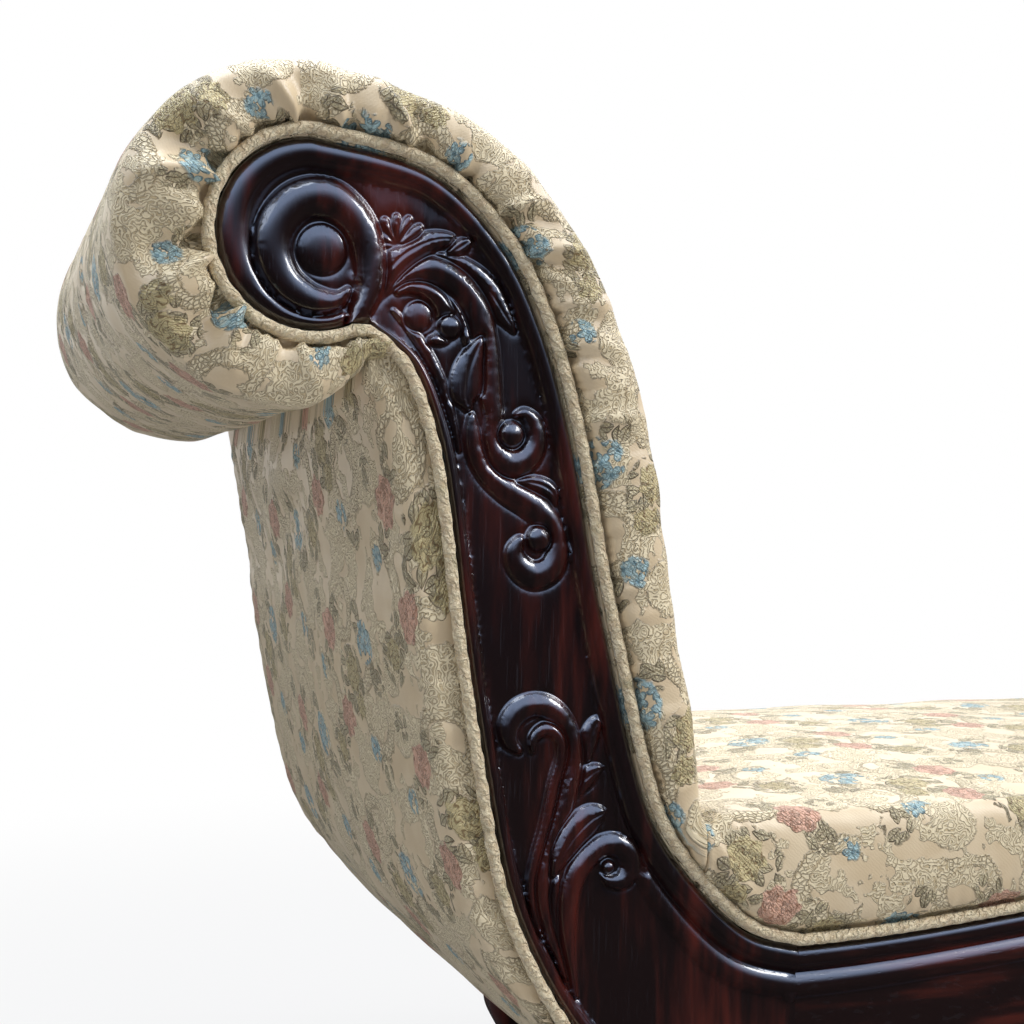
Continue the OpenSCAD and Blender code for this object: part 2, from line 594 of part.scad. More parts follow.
// Padded ends
module webbing(e) color(jute) {
    c = inner_curve(e, wood_n);
    first = cover_first / soft_n * wood_n + 1;
    count = max(1, round(strap_w * (len(c) - 1) / curve_length(c)));
    for (i = [first:count + ceil(count / 3):len(c) - 2 - count])
        board(e, -y_in, y_in) polygon(band(c, i, i + count));
}
function curve_length(p) = [for (i = [1:len(p) - 1]) norm(p[i] - p[i - 1])]
    * [for (i = [1:len(p) - 1]) 1];
module pad(e) color(stuffing) at_end(e) filling(cover_base(e), cover_tops(e), cover_edge_shares);
module cover(e) color(brocade) at_end(e) skin(cover_base(e), cover_tops(e), cover_edge_shares);
module panel_backing(e) color(jute) {
    c = outer_curve(e, wood_n);
    board(e, -y_in, y_in) polygon(band(c, 1, len(c) - 1));
}
module panel_pad(e) color(stuffing) at_end(e)
    filling(panel_base(e), panel_tops(e), panel_edge_shares, panel_back_shares);
module panel(e) color(brocade) at_end(e)
    skin(panel_base(e), panel_tops(e), panel_edge_shares, [], panel_back_shares);
module head_webbing() webbing(head);
module head_pad() pad(head);
module head_cover() cover(head);
module head_panel_backing() panel_backing(head);
module head_panel_pad() panel_pad(head);
module head_panel() panel(head);
module foot_webbing() webbing(foot);
module foot_pad() pad(foot);
module foot_cover() cover(foot);
module foot_panel_backing() panel_backing(foot);
module foot_panel_pad() panel_pad(foot);
module foot_panel() panel(foot);

// Welts: one run along the seat and round both volutes, one down the outside of each facing
welt_sides = 6;
welt_y = y_out + gap;
function in_plan(e, p) = e == head ? [head_x - p[0], rail_top + p[1]] : [foot_x + p[0], rail_top + p[1]];
module welt() color(brocade) {
    main = concat(
        [for (p = reversed(inner_curve(head, soft_n))) in_plan(head, p)],
        [for (i = [1:rail_stations - 1])
            let(x = lerp(head_x, foot_x, i / rail_stations)) [x, rail_top + arch_at(x)]],
        [for (p = inner_curve(foot, soft_n)) in_plan(foot, p)]);
    rotate([90, 0, 0])
        cord([for (q = shift(main, welt_r + bed)) [each q, welt_y]], welt_r, welt_sides);
    for (e = [head, foot]) at_end(e) {
        c = outer_curve(e, soft_n);
        outer = [for (i = [1:len(c) - 1]) c[i]];
        cord([for (q = shift(outer, welt_r + bed)) [each q, welt_y]], welt_r, welt_sides);
    }
}
module front_welt() welt();
module back_welt() to_back() welt();

// Underside
function tack_x(i) = lerp(head_x, foot_x, (i + 0.5) / (2 * spring_cols));
module long_tacks(play)
    for (i = [1:2 * spring_cols - 2]) translate([tack_x(i), strip_w / 4 - y_rib + gap, dust_z]) {
        translate([0, 0, -play]) cylinder(h = tack_l + 2 * play, d = tack_d + 2 * play, $fn = 16);
        translate([0, 0, -tack_head_t]) cylinder(h = tack_head_t, d = tack_head_d, $fn = 16);
    }
dust_z = strip_z - strap_t - gap - dust_t;
module dust_cover() color(cambric) difference() {
    // Corners cut back to clear the corner blocks
    x0 = head_x - end_rail_u(head) + gap;
    x1 = foot_x + end_rail_u(foot) - gap;
    c = block_w + gap;
    y = y_rib - gap;
    translate([0, 0, dust_z]) linear_extrude(dust_t) polygon([
        [x0 + c, -y], [x1 - c, -y], [x1, c - y], [x1, y - c],
        [x1 - c, y], [x0 + c, y], [x0, y - c], [x0, c - y]]);
    both_sides() long_tacks(fit);
}
module dust_cover_tacks() color(steel) both_sides() long_tacks(0);

front_rail();
back_rail();
head_facing_front();
head_facing_back();
foot_facing_front();
foot_facing_back();
head_frame_front();
head_frame_back();
foot_frame_front();
foot_frame_back();
head_end_rail();
foot_end_rail();
head_crest_pole();
foot_crest_pole();
head_slats();
foot_slats();
seat_braces();
corner_blocks();
tacking_strips();
leg_head_front();
leg_head_back();
leg_foot_front();
leg_foot_back();
leg_bolts();
foot_glides();
rail_dowels();
facing_screws();
seat_webbing_long();
seat_webbing_cross();
seat_springs();
seat_burlap();
seat_edge_rolls();
seat_pad();
seat_cover();
head_webbing();
head_pad();
head_cover();
head_panel_backing();
head_panel_pad();
head_panel();
foot_webbing();
foot_pad();
foot_cover();
foot_panel_backing();
foot_panel_pad();
foot_panel();
front_welt();
back_welt();
dust_cover();
dust_cover_tacks();
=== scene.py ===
# Fainting couch: the looks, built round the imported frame. Lengths are in millimetres until
# newPiece() turns them into metres.
import math
import bpy
import numpy as np
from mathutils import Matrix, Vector, geometry


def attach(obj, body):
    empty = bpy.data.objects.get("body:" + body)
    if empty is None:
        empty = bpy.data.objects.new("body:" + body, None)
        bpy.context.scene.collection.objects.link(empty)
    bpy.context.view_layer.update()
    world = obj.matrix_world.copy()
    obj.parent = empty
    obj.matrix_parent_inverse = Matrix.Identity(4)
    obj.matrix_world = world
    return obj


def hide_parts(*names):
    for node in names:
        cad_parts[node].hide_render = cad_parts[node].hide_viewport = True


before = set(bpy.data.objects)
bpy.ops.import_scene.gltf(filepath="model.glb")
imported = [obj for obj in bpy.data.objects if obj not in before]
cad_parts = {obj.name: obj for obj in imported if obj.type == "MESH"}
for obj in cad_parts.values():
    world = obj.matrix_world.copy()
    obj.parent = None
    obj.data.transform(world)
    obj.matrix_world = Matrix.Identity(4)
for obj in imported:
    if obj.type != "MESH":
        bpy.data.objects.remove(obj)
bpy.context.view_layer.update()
scene = bpy.context.scene
millimetre = 0.001

# camera, at the photograph's place: level, looking a little to the right
view = {"place": (-0.9675, -1.412, 0.640), "yaw": 18.17, "lens": 59.77, "shiftY": 0.003}
camera = bpy.data.objects.new("camera", bpy.data.cameras.new("camera"))
camera.data.sensor_width = 36
camera.data.lens = view["lens"]
camera.data.shift_y = view["shiftY"]
camera.data.clip_end = 60
camera.location = view["place"]
camera.rotation_euler = (math.pi / 2, 0, -math.radians(view["yaw"]))
scene.collection.objects.link(camera)
scene.camera = camera
scene.view_settings.view_transform = "Standard"

# sizes that every piece shares, as in the part's source
couch = {
    "yOut": 305, "yIn": 279, "yRib": 257,
    "railBase": 205, "railTop": 326, "railHeight": 121,
    "railArch": 24, "railRamp": 400, "headX": -384.5, "footX": 616.5,
    "sink": 8, "seatRise": 101, "seatCrown": 16, "crownRun": 213.5,
    "puff": 9.5, "weltRadius": 4.5, "gap": 0.3, "bed": 1.4,
}
voluteTop, coverEnd, notchStart = 90, -112, -114
volutePad = [0.77, 0.80, 0.89, 0.97, 1, 0.96, 0.87, 0.78, 0.74, 0.45]
ends = {
    "head": {
        "x": couch["headX"], "sign": -1, "run": 421, "rise": 564, "radius": 63.5, "pad": 69,
        "inner": [
            [0, 0, 0], [0.095, 0.023, 0], [0.190, 0.087, 0], [0.264, 0.163, 0],
            [0.306, 0.254, 0], [0.340, 0.363, 0], [0.375, 0.482, 0], [0.413, 0.638, 0],
            [0.463, 0.775, 0], [0.537, 0.885, 0], [0.660, 0.968, 0]],
        "innerPad": [0, 0, 0.3, 0.55, 0.72, 0.77, 0.83, 0.87, 0.83, 0.75, 0.70],
        "outer": [
            [0.753, 0.785, 0], [0.686, 0.738, 0], [0.644, 0.654, 0], [0.622, 0.562, 0],
            [0.599, 0.420, 0], [0.568, 0.268, 0], [0.530, 0.115, 0], [0.477, 0.011, 0],
            [0.404, 0, 0.372], [0.314, 0, 0.700], [0.214, 0, 1]],
        "panel": [
            [0.768, 0.679, 0], [0.765, 0.620, 0], [0.751, 0.564, 0], [0.737, 0.500, 0],
            [0.724, 0.411, 0], [0.694, 0.266, 0], [0.651, 0.124, 0], [0.599, 0.025, 0],
            [0.511, 0, 0.264], [0.385, 0, 0.720], [0.268, 0, 1]],
        # outline points with the widths of the bead and of the band inside it
        "border": [
            [0, 0, 20, 20], [52, 14, 20, 20], [100, 62, 18, 15], [124, 118, 17, 5],
            [142, 200, 17, 0], [158, 272, 15, 0], [174, 360, 14, 0], [195, 437, 14, 0],
            [226, 499, 15, 0], [278, 546, 17, 0], [330, 562, 20, 0], [358, 564, 21.5, 0],
            [402, 545, 24, 0], [421, 500, 27, 0], [402, 455, 24, 0], [358, 437, 18, 0],
            [336, 441, 12, 0], [322, 443, 4, 0], [314, 441, 3, 0], [289, 416, 7, 0],
            [271, 369, 9.5, 0], [262, 317, 10, 0], [239, 151, 10, 0], [223, 65, 11, 0],
            [201, 6, 12, 0], [132, -85, 13, 0], [90, -121, 14, 0], [40, -121, 15, 0],
            [0, -121, 15, 0]],
    },
    "foot": {
        "x": couch["footX"], "sign": 1, "run": 222, "rise": 240, "radius": 44, "pad": 36,
        "inner": [
            [0, 0, 0], [0.135, 0.038, 0], [0.252, 0.129, 0], [0.315, 0.233, 0],
            [0.356, 0.367, 0], [0.396, 0.517, 0], [0.455, 0.683, 0], [0.541, 0.833, 0],
            [0.658, 0.950, 0]],
        "innerPad": [0, 0, 0.3, 0.55, 0.78, 0.86, 0.92, 0.89, 0.86],
        "outer": [
            [0.667, 0.658, 0], [0.646, 0.600, 0], [0.634, 0.500, 0], [0.637, 0.375, 0],
            [0.649, 0.250, 0], [0.662, 0.125, 0], [0.662, 0, 0], [0.644, 0, 0.289],
            [0.617, 0, 0.620], [0.599, 0, 1]],
        "panel": [
            [0.721, 0.5, 0], [0.730, 0.433, 0], [0.757, 0.35, 0], [0.775, 0.25, 0],
            [0.788, 0.158, 0], [0.784, 0.058, 0], [0.761, 0, 0.1], [0.725, 0, 0.372],
            [0.700, 0, 0.678], [0.686, 0, 0.988]],
        "border": [
            [0, 0, 20, 20], [30, 9, 19, 18], [56, 31, 17, 9], [70, 56, 14, 2],
            [79, 88, 11, 0], [101, 164, 10, 0], [146, 228, 12, 0], [178, 240, 14.5, 0],
            [209, 227, 16.5, 0], [222, 196, 18, 0], [209, 165, 16, 0], [178, 152, 12, 0],
            [164, 155, 8, 0], [150, 158, 3, 0], [143, 144, 5, 0], [141, 120, 7, 0],
            [147, 30, 9, 0], [143, -35, 10, 0], [133, -121, 13, 0], [60, -121, 15, 0],
            [0, -121, 15, 0]],
    },
}


def lerp(a, b, t):
    return a + (b - a) * t


def smooth(t):
    t = np.clip(t, 0, 1)
    return t * t * (3 - 2 * t)


def smoothPath(points, n):
    # Catmull-Rom through the points, n steps between neighbours
    p = np.asarray(points, float)
    padded = np.concatenate([p[:1], p, p[-1:]])
    a, b, c, d = padded[:-3], padded[1:-2], padded[2:-1], padded[3:]
    t = (np.arange(n) / n).reshape((1, n) + (1,) * (p.ndim - 1))
    a, b, c, d = (q[:, None] for q in (a, b, c, d))
    path = 0.5 * (2 * b + (c - a) * t + (2 * a - 5 * b + 4 * c - d) * t ** 2
                  + (3 * b - a - 3 * c + d) * t ** 3)
    return np.concatenate([path.reshape((-1,) + p.shape[1:]), p[-1:]])


def along(path):
    # distance run at each point of a path
    steps = np.linalg.norm(np.diff(path, axis=0), axis=1)
    return np.concatenate([[0], np.cumsum(steps)])


def sides(path):
    d = np.gradient(path, axis=0)
    d /= np.linalg.norm(d, axis=1)[:, None]
    return np.stack([-d[:, 1], d[:, 0]], 1)


def waves(x, seed, period, count=5):
    # smooth seeded wobble of unit size along x
    rng = np.random.default_rng(seed)
    total = np.zeros_like(np.asarray(x, float))
    for _ in range(count):
        total += np.sin(np.asarray(x) * 2 * math.pi / (period * rng.uniform(0.6, 1.7))
                        + rng.uniform(0, 2 * math.pi))
    return total / math.sqrt(count)


def placed(end, shares):
    return np.array([[s[0] * end["run"], s[1] * end["rise"] - s[2] * couch["railHeight"]]
                     for s in shares])


def onVolute(end, degrees, extra=0):
    a = np.radians(degrees)
    centre = np.array([end["run"] - end["radius"], end["rise"] - end["radius"]])
    reach = np.asarray(end["radius"] + extra)
    return centre + np.stack([reach * np.cos(a), reach * np.sin(a)], -1)


def innerCurve(end, n):
    turn = np.linspace(voluteTop, coverEnd, 5 * n + 1)[1:]
    start = np.vstack([placed(end, end["inner"]), onVolute(end, voluteTop)])
    return np.vstack([smoothPath(start, n), onVolute(end, turn)])


def innerPad(end, n):
    turn = np.interp(np.linspace(0, 1, 5 * n + 1)[1:], np.linspace(0, 1, 10), volutePad)
    return end["pad"] * np.concatenate(
        [smoothPath(end["innerPad"] + volutePad[:1], n), turn])


def outerCurve(end, n):
    # from the end of the cover round the notch and down to the heel
    return np.vstack([onVolute(end, notchStart), smoothPath(placed(end, end["outer"]), n)])


def archAt(x):
    reach = np.minimum(x - couch["headX"], couch["footX"] - x) / couch["railRamp"]
    return couch["railArch"] * smooth(reach)


def inRoom(end, plane, y):
    # points (u, v) of an end's own plane, at depth y, in the couch's frame
    plane = np.asarray(plane, float)
    y = np.broadcast_to(y, plane.shape[:-1])
    return np.stack([end["x"] + end["sign"] * plane[..., 0], y,
                     couch["railTop"] + plane[..., 1]], -1)


def newPiece(name, points, faces, material, stands=(), uv=None, sharp=None):
    mesh = bpy.data.meshes.new(name)
    mesh.from_pydata((np.asarray(points) * millimetre).tolist(), [], faces)
    if uv is not None:
        corners = np.zeros(len(mesh.loops), np.int32)
        mesh.loops.foreach_get("vertex_index", corners)
        layer = mesh.uv_layers.new(name="cloth")
        layer.data.foreach_set("uv", (np.asarray(uv)[corners] * millimetre)
                               .astype(np.float32).ravel())
    mesh.materials.append(material)
    mesh.shade_smooth()
    if sharp:
        mesh.set_sharp_from_angle(angle=math.radians(sharp))
    piece = bpy.data.objects.new(name, mesh)
    scene.collection.objects.link(piece)
    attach(piece, "root")
    if stands:
        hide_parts(*stands)
    return piece


def gridFaces(rows, columns, closed=False, first=0):
    # quads between rings; closed joins the last column to the first
    across = columns if closed else columns - 1
    i, j = np.meshgrid(np.arange(rows - 1), np.arange(across), indexing="ij")
    a = first + i * columns + j
    b = first + i * columns + (j + 1) % columns
    return np.stack([a, b, b + columns, a + columns], -1).reshape(-1, 4).tolist()


def tubeFaces(rows, columns, first=0):
    # closed rings with a cap at each end
    faces = gridFaces(rows, columns, closed=True, first=first)
    return faces + [[first + k for k in range(columns)][::-1],
                    [first + (rows - 1) * columns + k for k in range(columns)]]


def turned(faces):
    return [f[::-1] for f in faces]


print("curves ready")


# shader helpers
class Field:
    # the output of a shader node, so that sums of outputs read as sums
    def __init__(self, wiring, socket):
        self.wiring, self.socket = wiring, socket
        self.isNumber = socket.type == "VALUE"

    def combine(self, operation, other):
        if self.isNumber:
            return self.wiring.math(operation, self, other)
        if operation == "MULTIPLY" and not isinstance(other, tuple):
            operation = "SCALE"
        return self.wiring.vector(operation, self, other)

    def __add__(self, other):
        return self.combine("ADD", other)

    def __sub__(self, other):
        return self.combine("SUBTRACT", other)

    def __mul__(self, other):
        return self.combine("MULTIPLY", other)

    def __truediv__(self, other):
        return self.combine("DIVIDE", other)

    def __abs__(self):
        return self.wiring.math("ABSOLUTE", self)


class Wiring:
    # short names for the nodes of one tree
    def __init__(self, tree):
        self.tree = tree

    def node(self, kind, inputs=None, **settings):
        made = self.tree.nodes.new(kind)
        for key, value in settings.items():
            setattr(made, key, value)
        for key, value in (inputs or {}).items():
            self.feed(made.inputs[key], value)
        return made

    def feed(self, socket, value):
        if isinstance(value, Field):
            self.tree.links.new(value.socket, socket)
        else:
            socket.default_value = value

    def of(self, node, key=0):
        return Field(self, node.outputs[key])

    def math(self, operation, *values):
        return self.of(self.node("ShaderNodeMath", dict(enumerate(values)), operation=operation))

    def vector(self, operation, *values):
        second = 3 if operation == "SCALE" else 1
        made = self.node("ShaderNodeVectorMath", dict(zip((0, second), values)),
                         operation=operation)
        return self.of(made, "Value" if operation in ("LENGTH", "DISTANCE") else "Vector")

    def ramp(self, value, low, high, a=0.0, b=1.0):
        return self.of(self.node("ShaderNodeMapRange", {
            "Value": value, "From Min": low, "From Max": high, "To Min": a, "To Max": b},
            interpolation_type="SMOOTHSTEP"))

    def blend(self, factor, a, b):
        return self.of(self.node("ShaderNodeMix", {0: factor, 6: a, 7: b}, data_type="RGBA"), 2)

    def noise(self, vector, scale, detail=2.0, rough=0.5, output=0):
        return self.of(self.node("ShaderNodeTexNoise", {
            "Vector": vector, "Scale": scale, "Detail": detail, "Roughness": rough}), output)

    def drift(self, vector, scale, detail, reach):
        # a noise of all three directions, round zero
        return (self.noise(vector, scale, detail, output="Color") - (0.5, 0.5, 0.5)) * reach

    def cells(self, vector, scale, feature="F1", randomness=1.0):
        return self.node("ShaderNodeTexVoronoi", {
            "Vector": vector, "Scale": scale, "Randomness": randomness},
            feature=feature, voronoi_dimensions="2D")

    def rows(self, vector, scale, distortion, detail, detailScale):
        return self.of(self.node("ShaderNodeTexWave", {
            "Vector": vector, "Scale": scale, "Distortion": distortion, "Detail": detail,
            "Detail Scale": detailScale}, wave_type="BANDS", bands_direction="DIAGONAL"), "Fac")

    def split(self, vector):
        made = self.node("ShaderNodeSeparateXYZ", {"Vector": vector})
        return [self.of(made, k) for k in range(3)]

    def place(self, output="Object"):
        return self.of(self.node("ShaderNodeTexCoord"), output)

    def group(self, tree, values):
        made = self.node("ShaderNodeGroup", node_tree=tree)
        for key, value in values.items():
            self.feed(made.inputs[key], value)
        return made

    def relief(self, shader, height, strength, distance, sockets=("Normal",)):
        bump = self.node("ShaderNodeBump", {
            "Height": height, "Strength": strength, "Distance": distance})
        for socket in sockets:
            self.feed(shader.inputs[socket], self.of(bump))


colour, number, arrow = "NodeSocketColor", "NodeSocketFloat", "NodeSocketVector"


def newGroup(name, inputs, outputs):
    group = bpy.data.node_groups.new(name, "ShaderNodeTree")
    for sockets, way in ((inputs, "INPUT"), (outputs, "OUTPUT")):
        for label, kind in sockets.items():
            group.interface.new_socket(label, in_out=way, socket_type=kind)
    w = Wiring(group)
    start = w.node("NodeGroupInput")
    given = {label: w.of(start, label) for label in inputs}
    return group, w, given, w.node("NodeGroupOutput").inputs


def newMaterial(name, **sockets):
    material = bpy.data.materials.new(name)
    material.use_nodes = True
    shader = material.node_tree.nodes["Principled BSDF"]
    for key, value in sockets.items():
        shader.inputs[key.replace("_", " ")].default_value = value
    return material, Wiring(material.node_tree), shader


def rgb(red, green, blue):
    # a screen colour of 0 to 255 as a linear one
    def linear(c):
        c /= 255
        return c / 12.92 if c <= 0.04045 else ((c + 0.055) / 1.055) ** 2.4
    return (linear(red), linear(green), linear(blue), 1)


# grain of wood, shared by the show wood and the frame
grainGroup, w, given, result = newGroup(
    "wood grain",
    {"Vector": arrow, "Dark": colour, "Light": colour, "Pitch": number, "Figure": number},
    {"Color": colour, "Pores": number})
bent = given["Vector"] + w.drift(given["Vector"], 5.0, 2.0, 0.05)
figure = (w.noise(bent, 9.0, 1.0) - 0.5) * given["Figure"]
tone = w.ramp(w.noise(bent, given["Pitch"], 3.0, 0.62) + figure, 0.38, 0.72)
w.feed(result["Color"], w.blend(tone, given["Dark"], given["Light"]))
w.feed(result["Pores"], w.ramp(w.noise(bent * (4.0, 4.0, 1.0), 240.0, 1.0), 0.60, 0.72))


def woodMaterial(name, stretch, dark, light, figure, rough, coat, dent):
    # stretch draws the grain out along one axis of the couch
    material, w, shader = newMaterial(
        name, Coat_Weight=coat, Coat_Roughness=0.045, Coat_IOR=1.52,
        Specular_IOR_Level=0.35 + 0.18 * coat)
    place = w.place()
    grain = w.group(grainGroup, {"Vector": place * stretch, "Dark": dark, "Light": light,
                                 "Pitch": 48.0, "Figure": figure})
    pores = w.of(grain, "Pores")
    w.feed(shader.inputs["Base Color"], w.of(grain, "Color"))
    w.feed(shader.inputs["Roughness"], w.ramp(pores, 0, 1, rough, rough + 0.15))
    # French polish follows the pores and hand work a little
    w.relief(shader, w.noise(place, 55.0, 2.0) * 0.5 - pores, dent, 0.0006,
             ("Normal", "Coat Normal"))
    return material


polish = {"figure": 1.0, "rough": 0.28, "coat": 1.0, "dent": 0.10}
uprightWood = woodMaterial("mahogany upright", (1.0, 1.0, 0.12), rgb(24, 8, 8),
                           rgb(80, 27, 18), **polish)
railWood = woodMaterial("mahogany along rail", (0.12, 1.0, 1.0), rgb(27, 9, 8),
                        rgb(88, 31, 20), **polish)
frameWood = woodMaterial("frame beech", (0.12, 0.12, 1.0), rgb(150, 112, 72),
                         rgb(196, 158, 110), figure=0.3, rough=0.55, coat=0.0, dent=0.5)

# brocade: woven roses, small blue flowers and leaf sprays on satin, in cloth metres
brocade = {
    "width": 0.170, "repeat": 0.172, "softEdge": 0.0014, "relief": 0.0027,
    # cells to a metre of the cloth
    "leafCells": 92.0, "flowerCells": 76.0, "crackleCells": 235.0,
    "satin": rgb(223, 204, 172), "satinDark": rgb(214, 193, 159),
    # the groove colour darkens the cream where the relief is lowest, between the raised threads:
    # partly their own tone, partly painted shade
    "raised": rgb(235, 220, 186), "groove": rgb(210, 190, 152), "braid": rgb(188, 166, 128),
    "leaf": rgb(176, 162, 127), "leafLight": rgb(199, 186, 150), "leafLine": rgb(126, 109, 80),
    "bud": rgb(210, 194, 146), "budLine": rgb(142, 120, 82),
    "pink": rgb(229, 190, 164), "pinkDark": rgb(218, 168, 144), "pinkLine": rgb(172, 126, 100),
    "blue": rgb(168, 198, 202), "blueLine": rgb(116, 146, 154),
    # place in the lattice cell and reach of each motif
    "roses": [(0.040, 0.042, 0.0160), (0.022, -0.026, 0.0150)],
    "buds": [(-0.006, 0.010, 0.0150), (-0.016, -0.016, 0.0105), (0.060, -0.052, 0.0120)],
    "blueSpots": [(-0.047, 0.034, 0.0180), (-0.033, -0.046, 0.0110), (0.074, 0.010, 0.010)],
    "leafSpots": [(-0.004, 0.004, 0.028), (0.052, 0.022, 0.013), (0.022, 0.060, 0.012),
                  (0.044, -0.038, 0.015), (-0.032, 0.055, 0.012), (-0.066, 0.010, 0.014),
                  (-0.052, -0.060, 0.013), (0.062, -0.056, 0.020), (0.068, 0.064, 0.011)],
    "scrolls": [(0.068, -0.014, 0.030, 0.0070), (-0.054, -0.018, 0.027, 0.0065),
                (0.004, 0.062, 0.022, 0.0060)],
    "fillSpots": [(0.070, 0.062, 0.019), (-0.076, -0.004, 0.015), (0.074, -0.070, 0.015),
                  (-0.006, -0.062, 0.019), (-0.026, 0.076, 0.016)],
}
petalGroup, w, given, result = newGroup(
    "woven petals", {"Vector": arrow, "Centre": arrow, "Reach": number},
    {"Mask": number, "Line": number})
offset = given["Vector"] - given["Centre"]
away = w.vector("LENGTH", offset)
px, py, _ = w.split(offset)
turn = w.math("ARCTAN2", py, px)
lobes = w.math("SINE", turn * 7.0) * 0.0012
w.feed(result["Mask"], w.ramp(away + lobes - given["Reach"], 0.0007, -0.0007))
curl = away / 0.0043 + w.math("SINE", turn * 3.0 + away * 620.0) * 0.55
w.feed(result["Line"], w.ramp(abs(w.math("FRACT", curl) - 0.5), 0.05, 0.22))

weaveGroup, w, given, result = newGroup(
    "brocade weave", {"Vector": arrow}, {"Color": colour, "Height": number, "Thread": number})
cloth = given["Vector"]


def ragged(scale, reach):
    # the cloth's own place, disturbed a little
    return cloth + w.drift(cloth, scale, 1.0, reach)


def inRepeat(place, length):
    return (w.math("FRACT", place / length) - 0.5) * length


def near(motif):
    x, y, reach = motif
    away = w.vector("DISTANCE", spot, (x, y, 0))
    return w.ramp(away, reach + brocade["softEdge"], reach - brocade["softEdge"])


def together(masks, operation="MAXIMUM"):
    total = masks[0]
    for mask in masks[1:]:
        total = w.math(operation, total, mask)
    return total


def spots(key):
    return together([near(motif) for motif in brocade[key]])


def blooms(key):
    # mask and petal lines of several flowers at once
    masks, lines = [], []
    for x, y, reach in brocade[key]:
        flower = w.group(petalGroup, {"Vector": spot, "Centre": (x, y, 0), "Reach": reach})
        masks.append(w.of(flower, "Mask"))
        lines.append(w.math("MAXIMUM", w.of(flower, "Line"),
                            w.math("SUBTRACT", 1.0, masks[-1])))
    return together(masks), together(lines, "MINIMUM")


def mosaic(scale, wobble, randomness=1.0):
    # random values of a mosaic's cells, and the place in each, from the cell's middle
    cells = w.cells(cloth, scale, randomness=randomness)
    return w.of(cells, "Color"), (ragged(wobble, 0.0016) - w.of(cells, "Position")) * scale


place = ragged(95.0, 0.0085) + w.drift(cloth, 420.0, 1.0, 0.0022) \
    + w.drift(cloth, 13.0, 1.0, 0.016)
x, y, _ = w.split(place)
drop = w.math("FLOORED_MODULO", w.math("FLOOR", x / brocade["width"]), 2.0) * 0.5
spot = w.of(w.node("ShaderNodeCombineXYZ", {
    "X": inRepeat(x, brocade["width"]),
    "Y": inRepeat(y + drop * brocade["repeat"], brocade["repeat"])}))

# raised cream scrolls and fillings: small cells parted by grooves, or meandering couched rows
crackle = w.of(w.cells(ragged(160.0, 0.005) * (1.0, 1.45, 1.0), brocade["crackleCells"],
                       "DISTANCE_TO_EDGE"), "Distance")
scrollMasks, braids = [], []
for sx, sy, bend, half in brocade["scrolls"]:
    off = abs(w.vector("DISTANCE", spot, (sx, sy, 0)) - bend)
    scrollMasks.append(w.ramp(off, half + 0.0008, half - 0.0008))
    braids.append(w.ramp(abs(off - (half - 0.0012)), 0.0010, 0.0004))
cloudy = w.ramp(w.noise(place, 34.0, 2.0, 0.6), 0.515, 0.530)
filling = together([spots("fillSpots"), cloudy])
raised = together(scrollMasks + [filling])
braid = together(braids)
meander = w.math("FRACT", w.noise(ragged(300.0, 0.003), 150.0, 0.0) * 6.0)
grooves = w.ramp(crackle, 0.02, 0.20)
grooves += (w.ramp(abs(meander - 0.5), 0.08, 0.26) - grooves) * filling

# leaves: each cell of a coarse mosaic holds one leaf with its rib, turned its own way
chance, inLeaf = mosaic(brocade["leafCells"], 240.0)
leafTurn, leafShade, _ = w.split(chance)
lean = w.of(w.node("ShaderNodeVectorRotate", {
    "Vector": inLeaf, "Angle": leafTurn * 6.28}, rotation_type="Z_AXIS"))
leafX, leafY, _ = w.split(lean)
leafY = abs(leafY)
leafEdge = leafX * leafX * -0.75 + 0.38 - leafY
ribs = abs(w.math("SINE", (leafX - leafY) * 12.0))
leafLine = together([w.ramp(leafEdge, 0.01, 0.10), w.ramp(leafY, 0.015, 0.06),
                     w.ramp(ribs, 0.0, 0.5, 0.35, 1)], "MINIMUM")
leafBody = spots("leafSpots") * w.ramp(leafEdge, -0.04, 0.02)

# blue flowers: five petals in each cell of another mosaic
_, inFlower = mosaic(brocade["flowerCells"], 300.0, 0.75)
flowerX, flowerY, _ = w.split(inFlower)
petal = abs(w.math("SINE", w.math("ARCTAN2", flowerY, flowerX) * 2.5))
fromHeart = w.vector("LENGTH", inFlower)
petalEdge = petal * 0.30 + 0.32 - fromHeart
blueLine = together([w.ramp(petalEdge, 0.02, 0.12), w.ramp(petal, 0.05, 0.40),
                     w.ramp(fromHeart, 0.10, 0.18)], "MINIMUM")
blueBody = spots("blueSpots") * w.ramp(petalEdge, -0.06, 0.02)
roseBody, roseLine = blooms("roses")
budBody, budLine = blooms("buds")

# colours of the silks, which lie in short slanting rows
stitch = w.rows(cloth, 200.0, 5.0, 1.0, 2.0)
worn = w.ramp(w.noise(cloth, 190.0, 1.0), 0.45, 0.75, 0, 0.45)
tint = w.blend(w.ramp(w.noise(cloth, 30.0, 2.0), 0.35, 0.65),
               brocade["satin"], brocade["satinDark"])
# cream of the raised threads, painted darker in the grooves between them where the relief is
# lowest: partly the threads' own tone, partly painted shade
cream = w.blend(grooves, brocade["groove"], brocade["raised"])
tint = w.blend(raised, tint, w.blend(braid * 0.7, cream, brocade["braid"]))
leafTone = w.blend(w.ramp(leafShade, 0.40, 0.60), brocade["leaf"], brocade["leafLight"])
for body, line, lineKey, tone in (
        (leafBody, leafLine, "leafLine", w.blend(stitch * 0.35, leafTone, brocade["raised"])),
        (budBody, budLine, "budLine", w.blend(stitch * 0.35, brocade["bud"], brocade["leaf"])),
        (roseBody, roseLine, "pinkLine",
         w.blend(stitch * 0.5 + worn, brocade["pinkDark"], brocade["pink"])),
        (blueBody, blueLine, "blueLine", w.blend(worn, brocade["blue"], brocade["raised"]))):
    tint = w.blend(body, tint, w.blend(line, brocade[lineKey], tone))
figures = together([leafBody, roseBody, blueBody, budBody])
lines = together([leafLine, roseLine, blueLine, budLine], "MINIMUM")
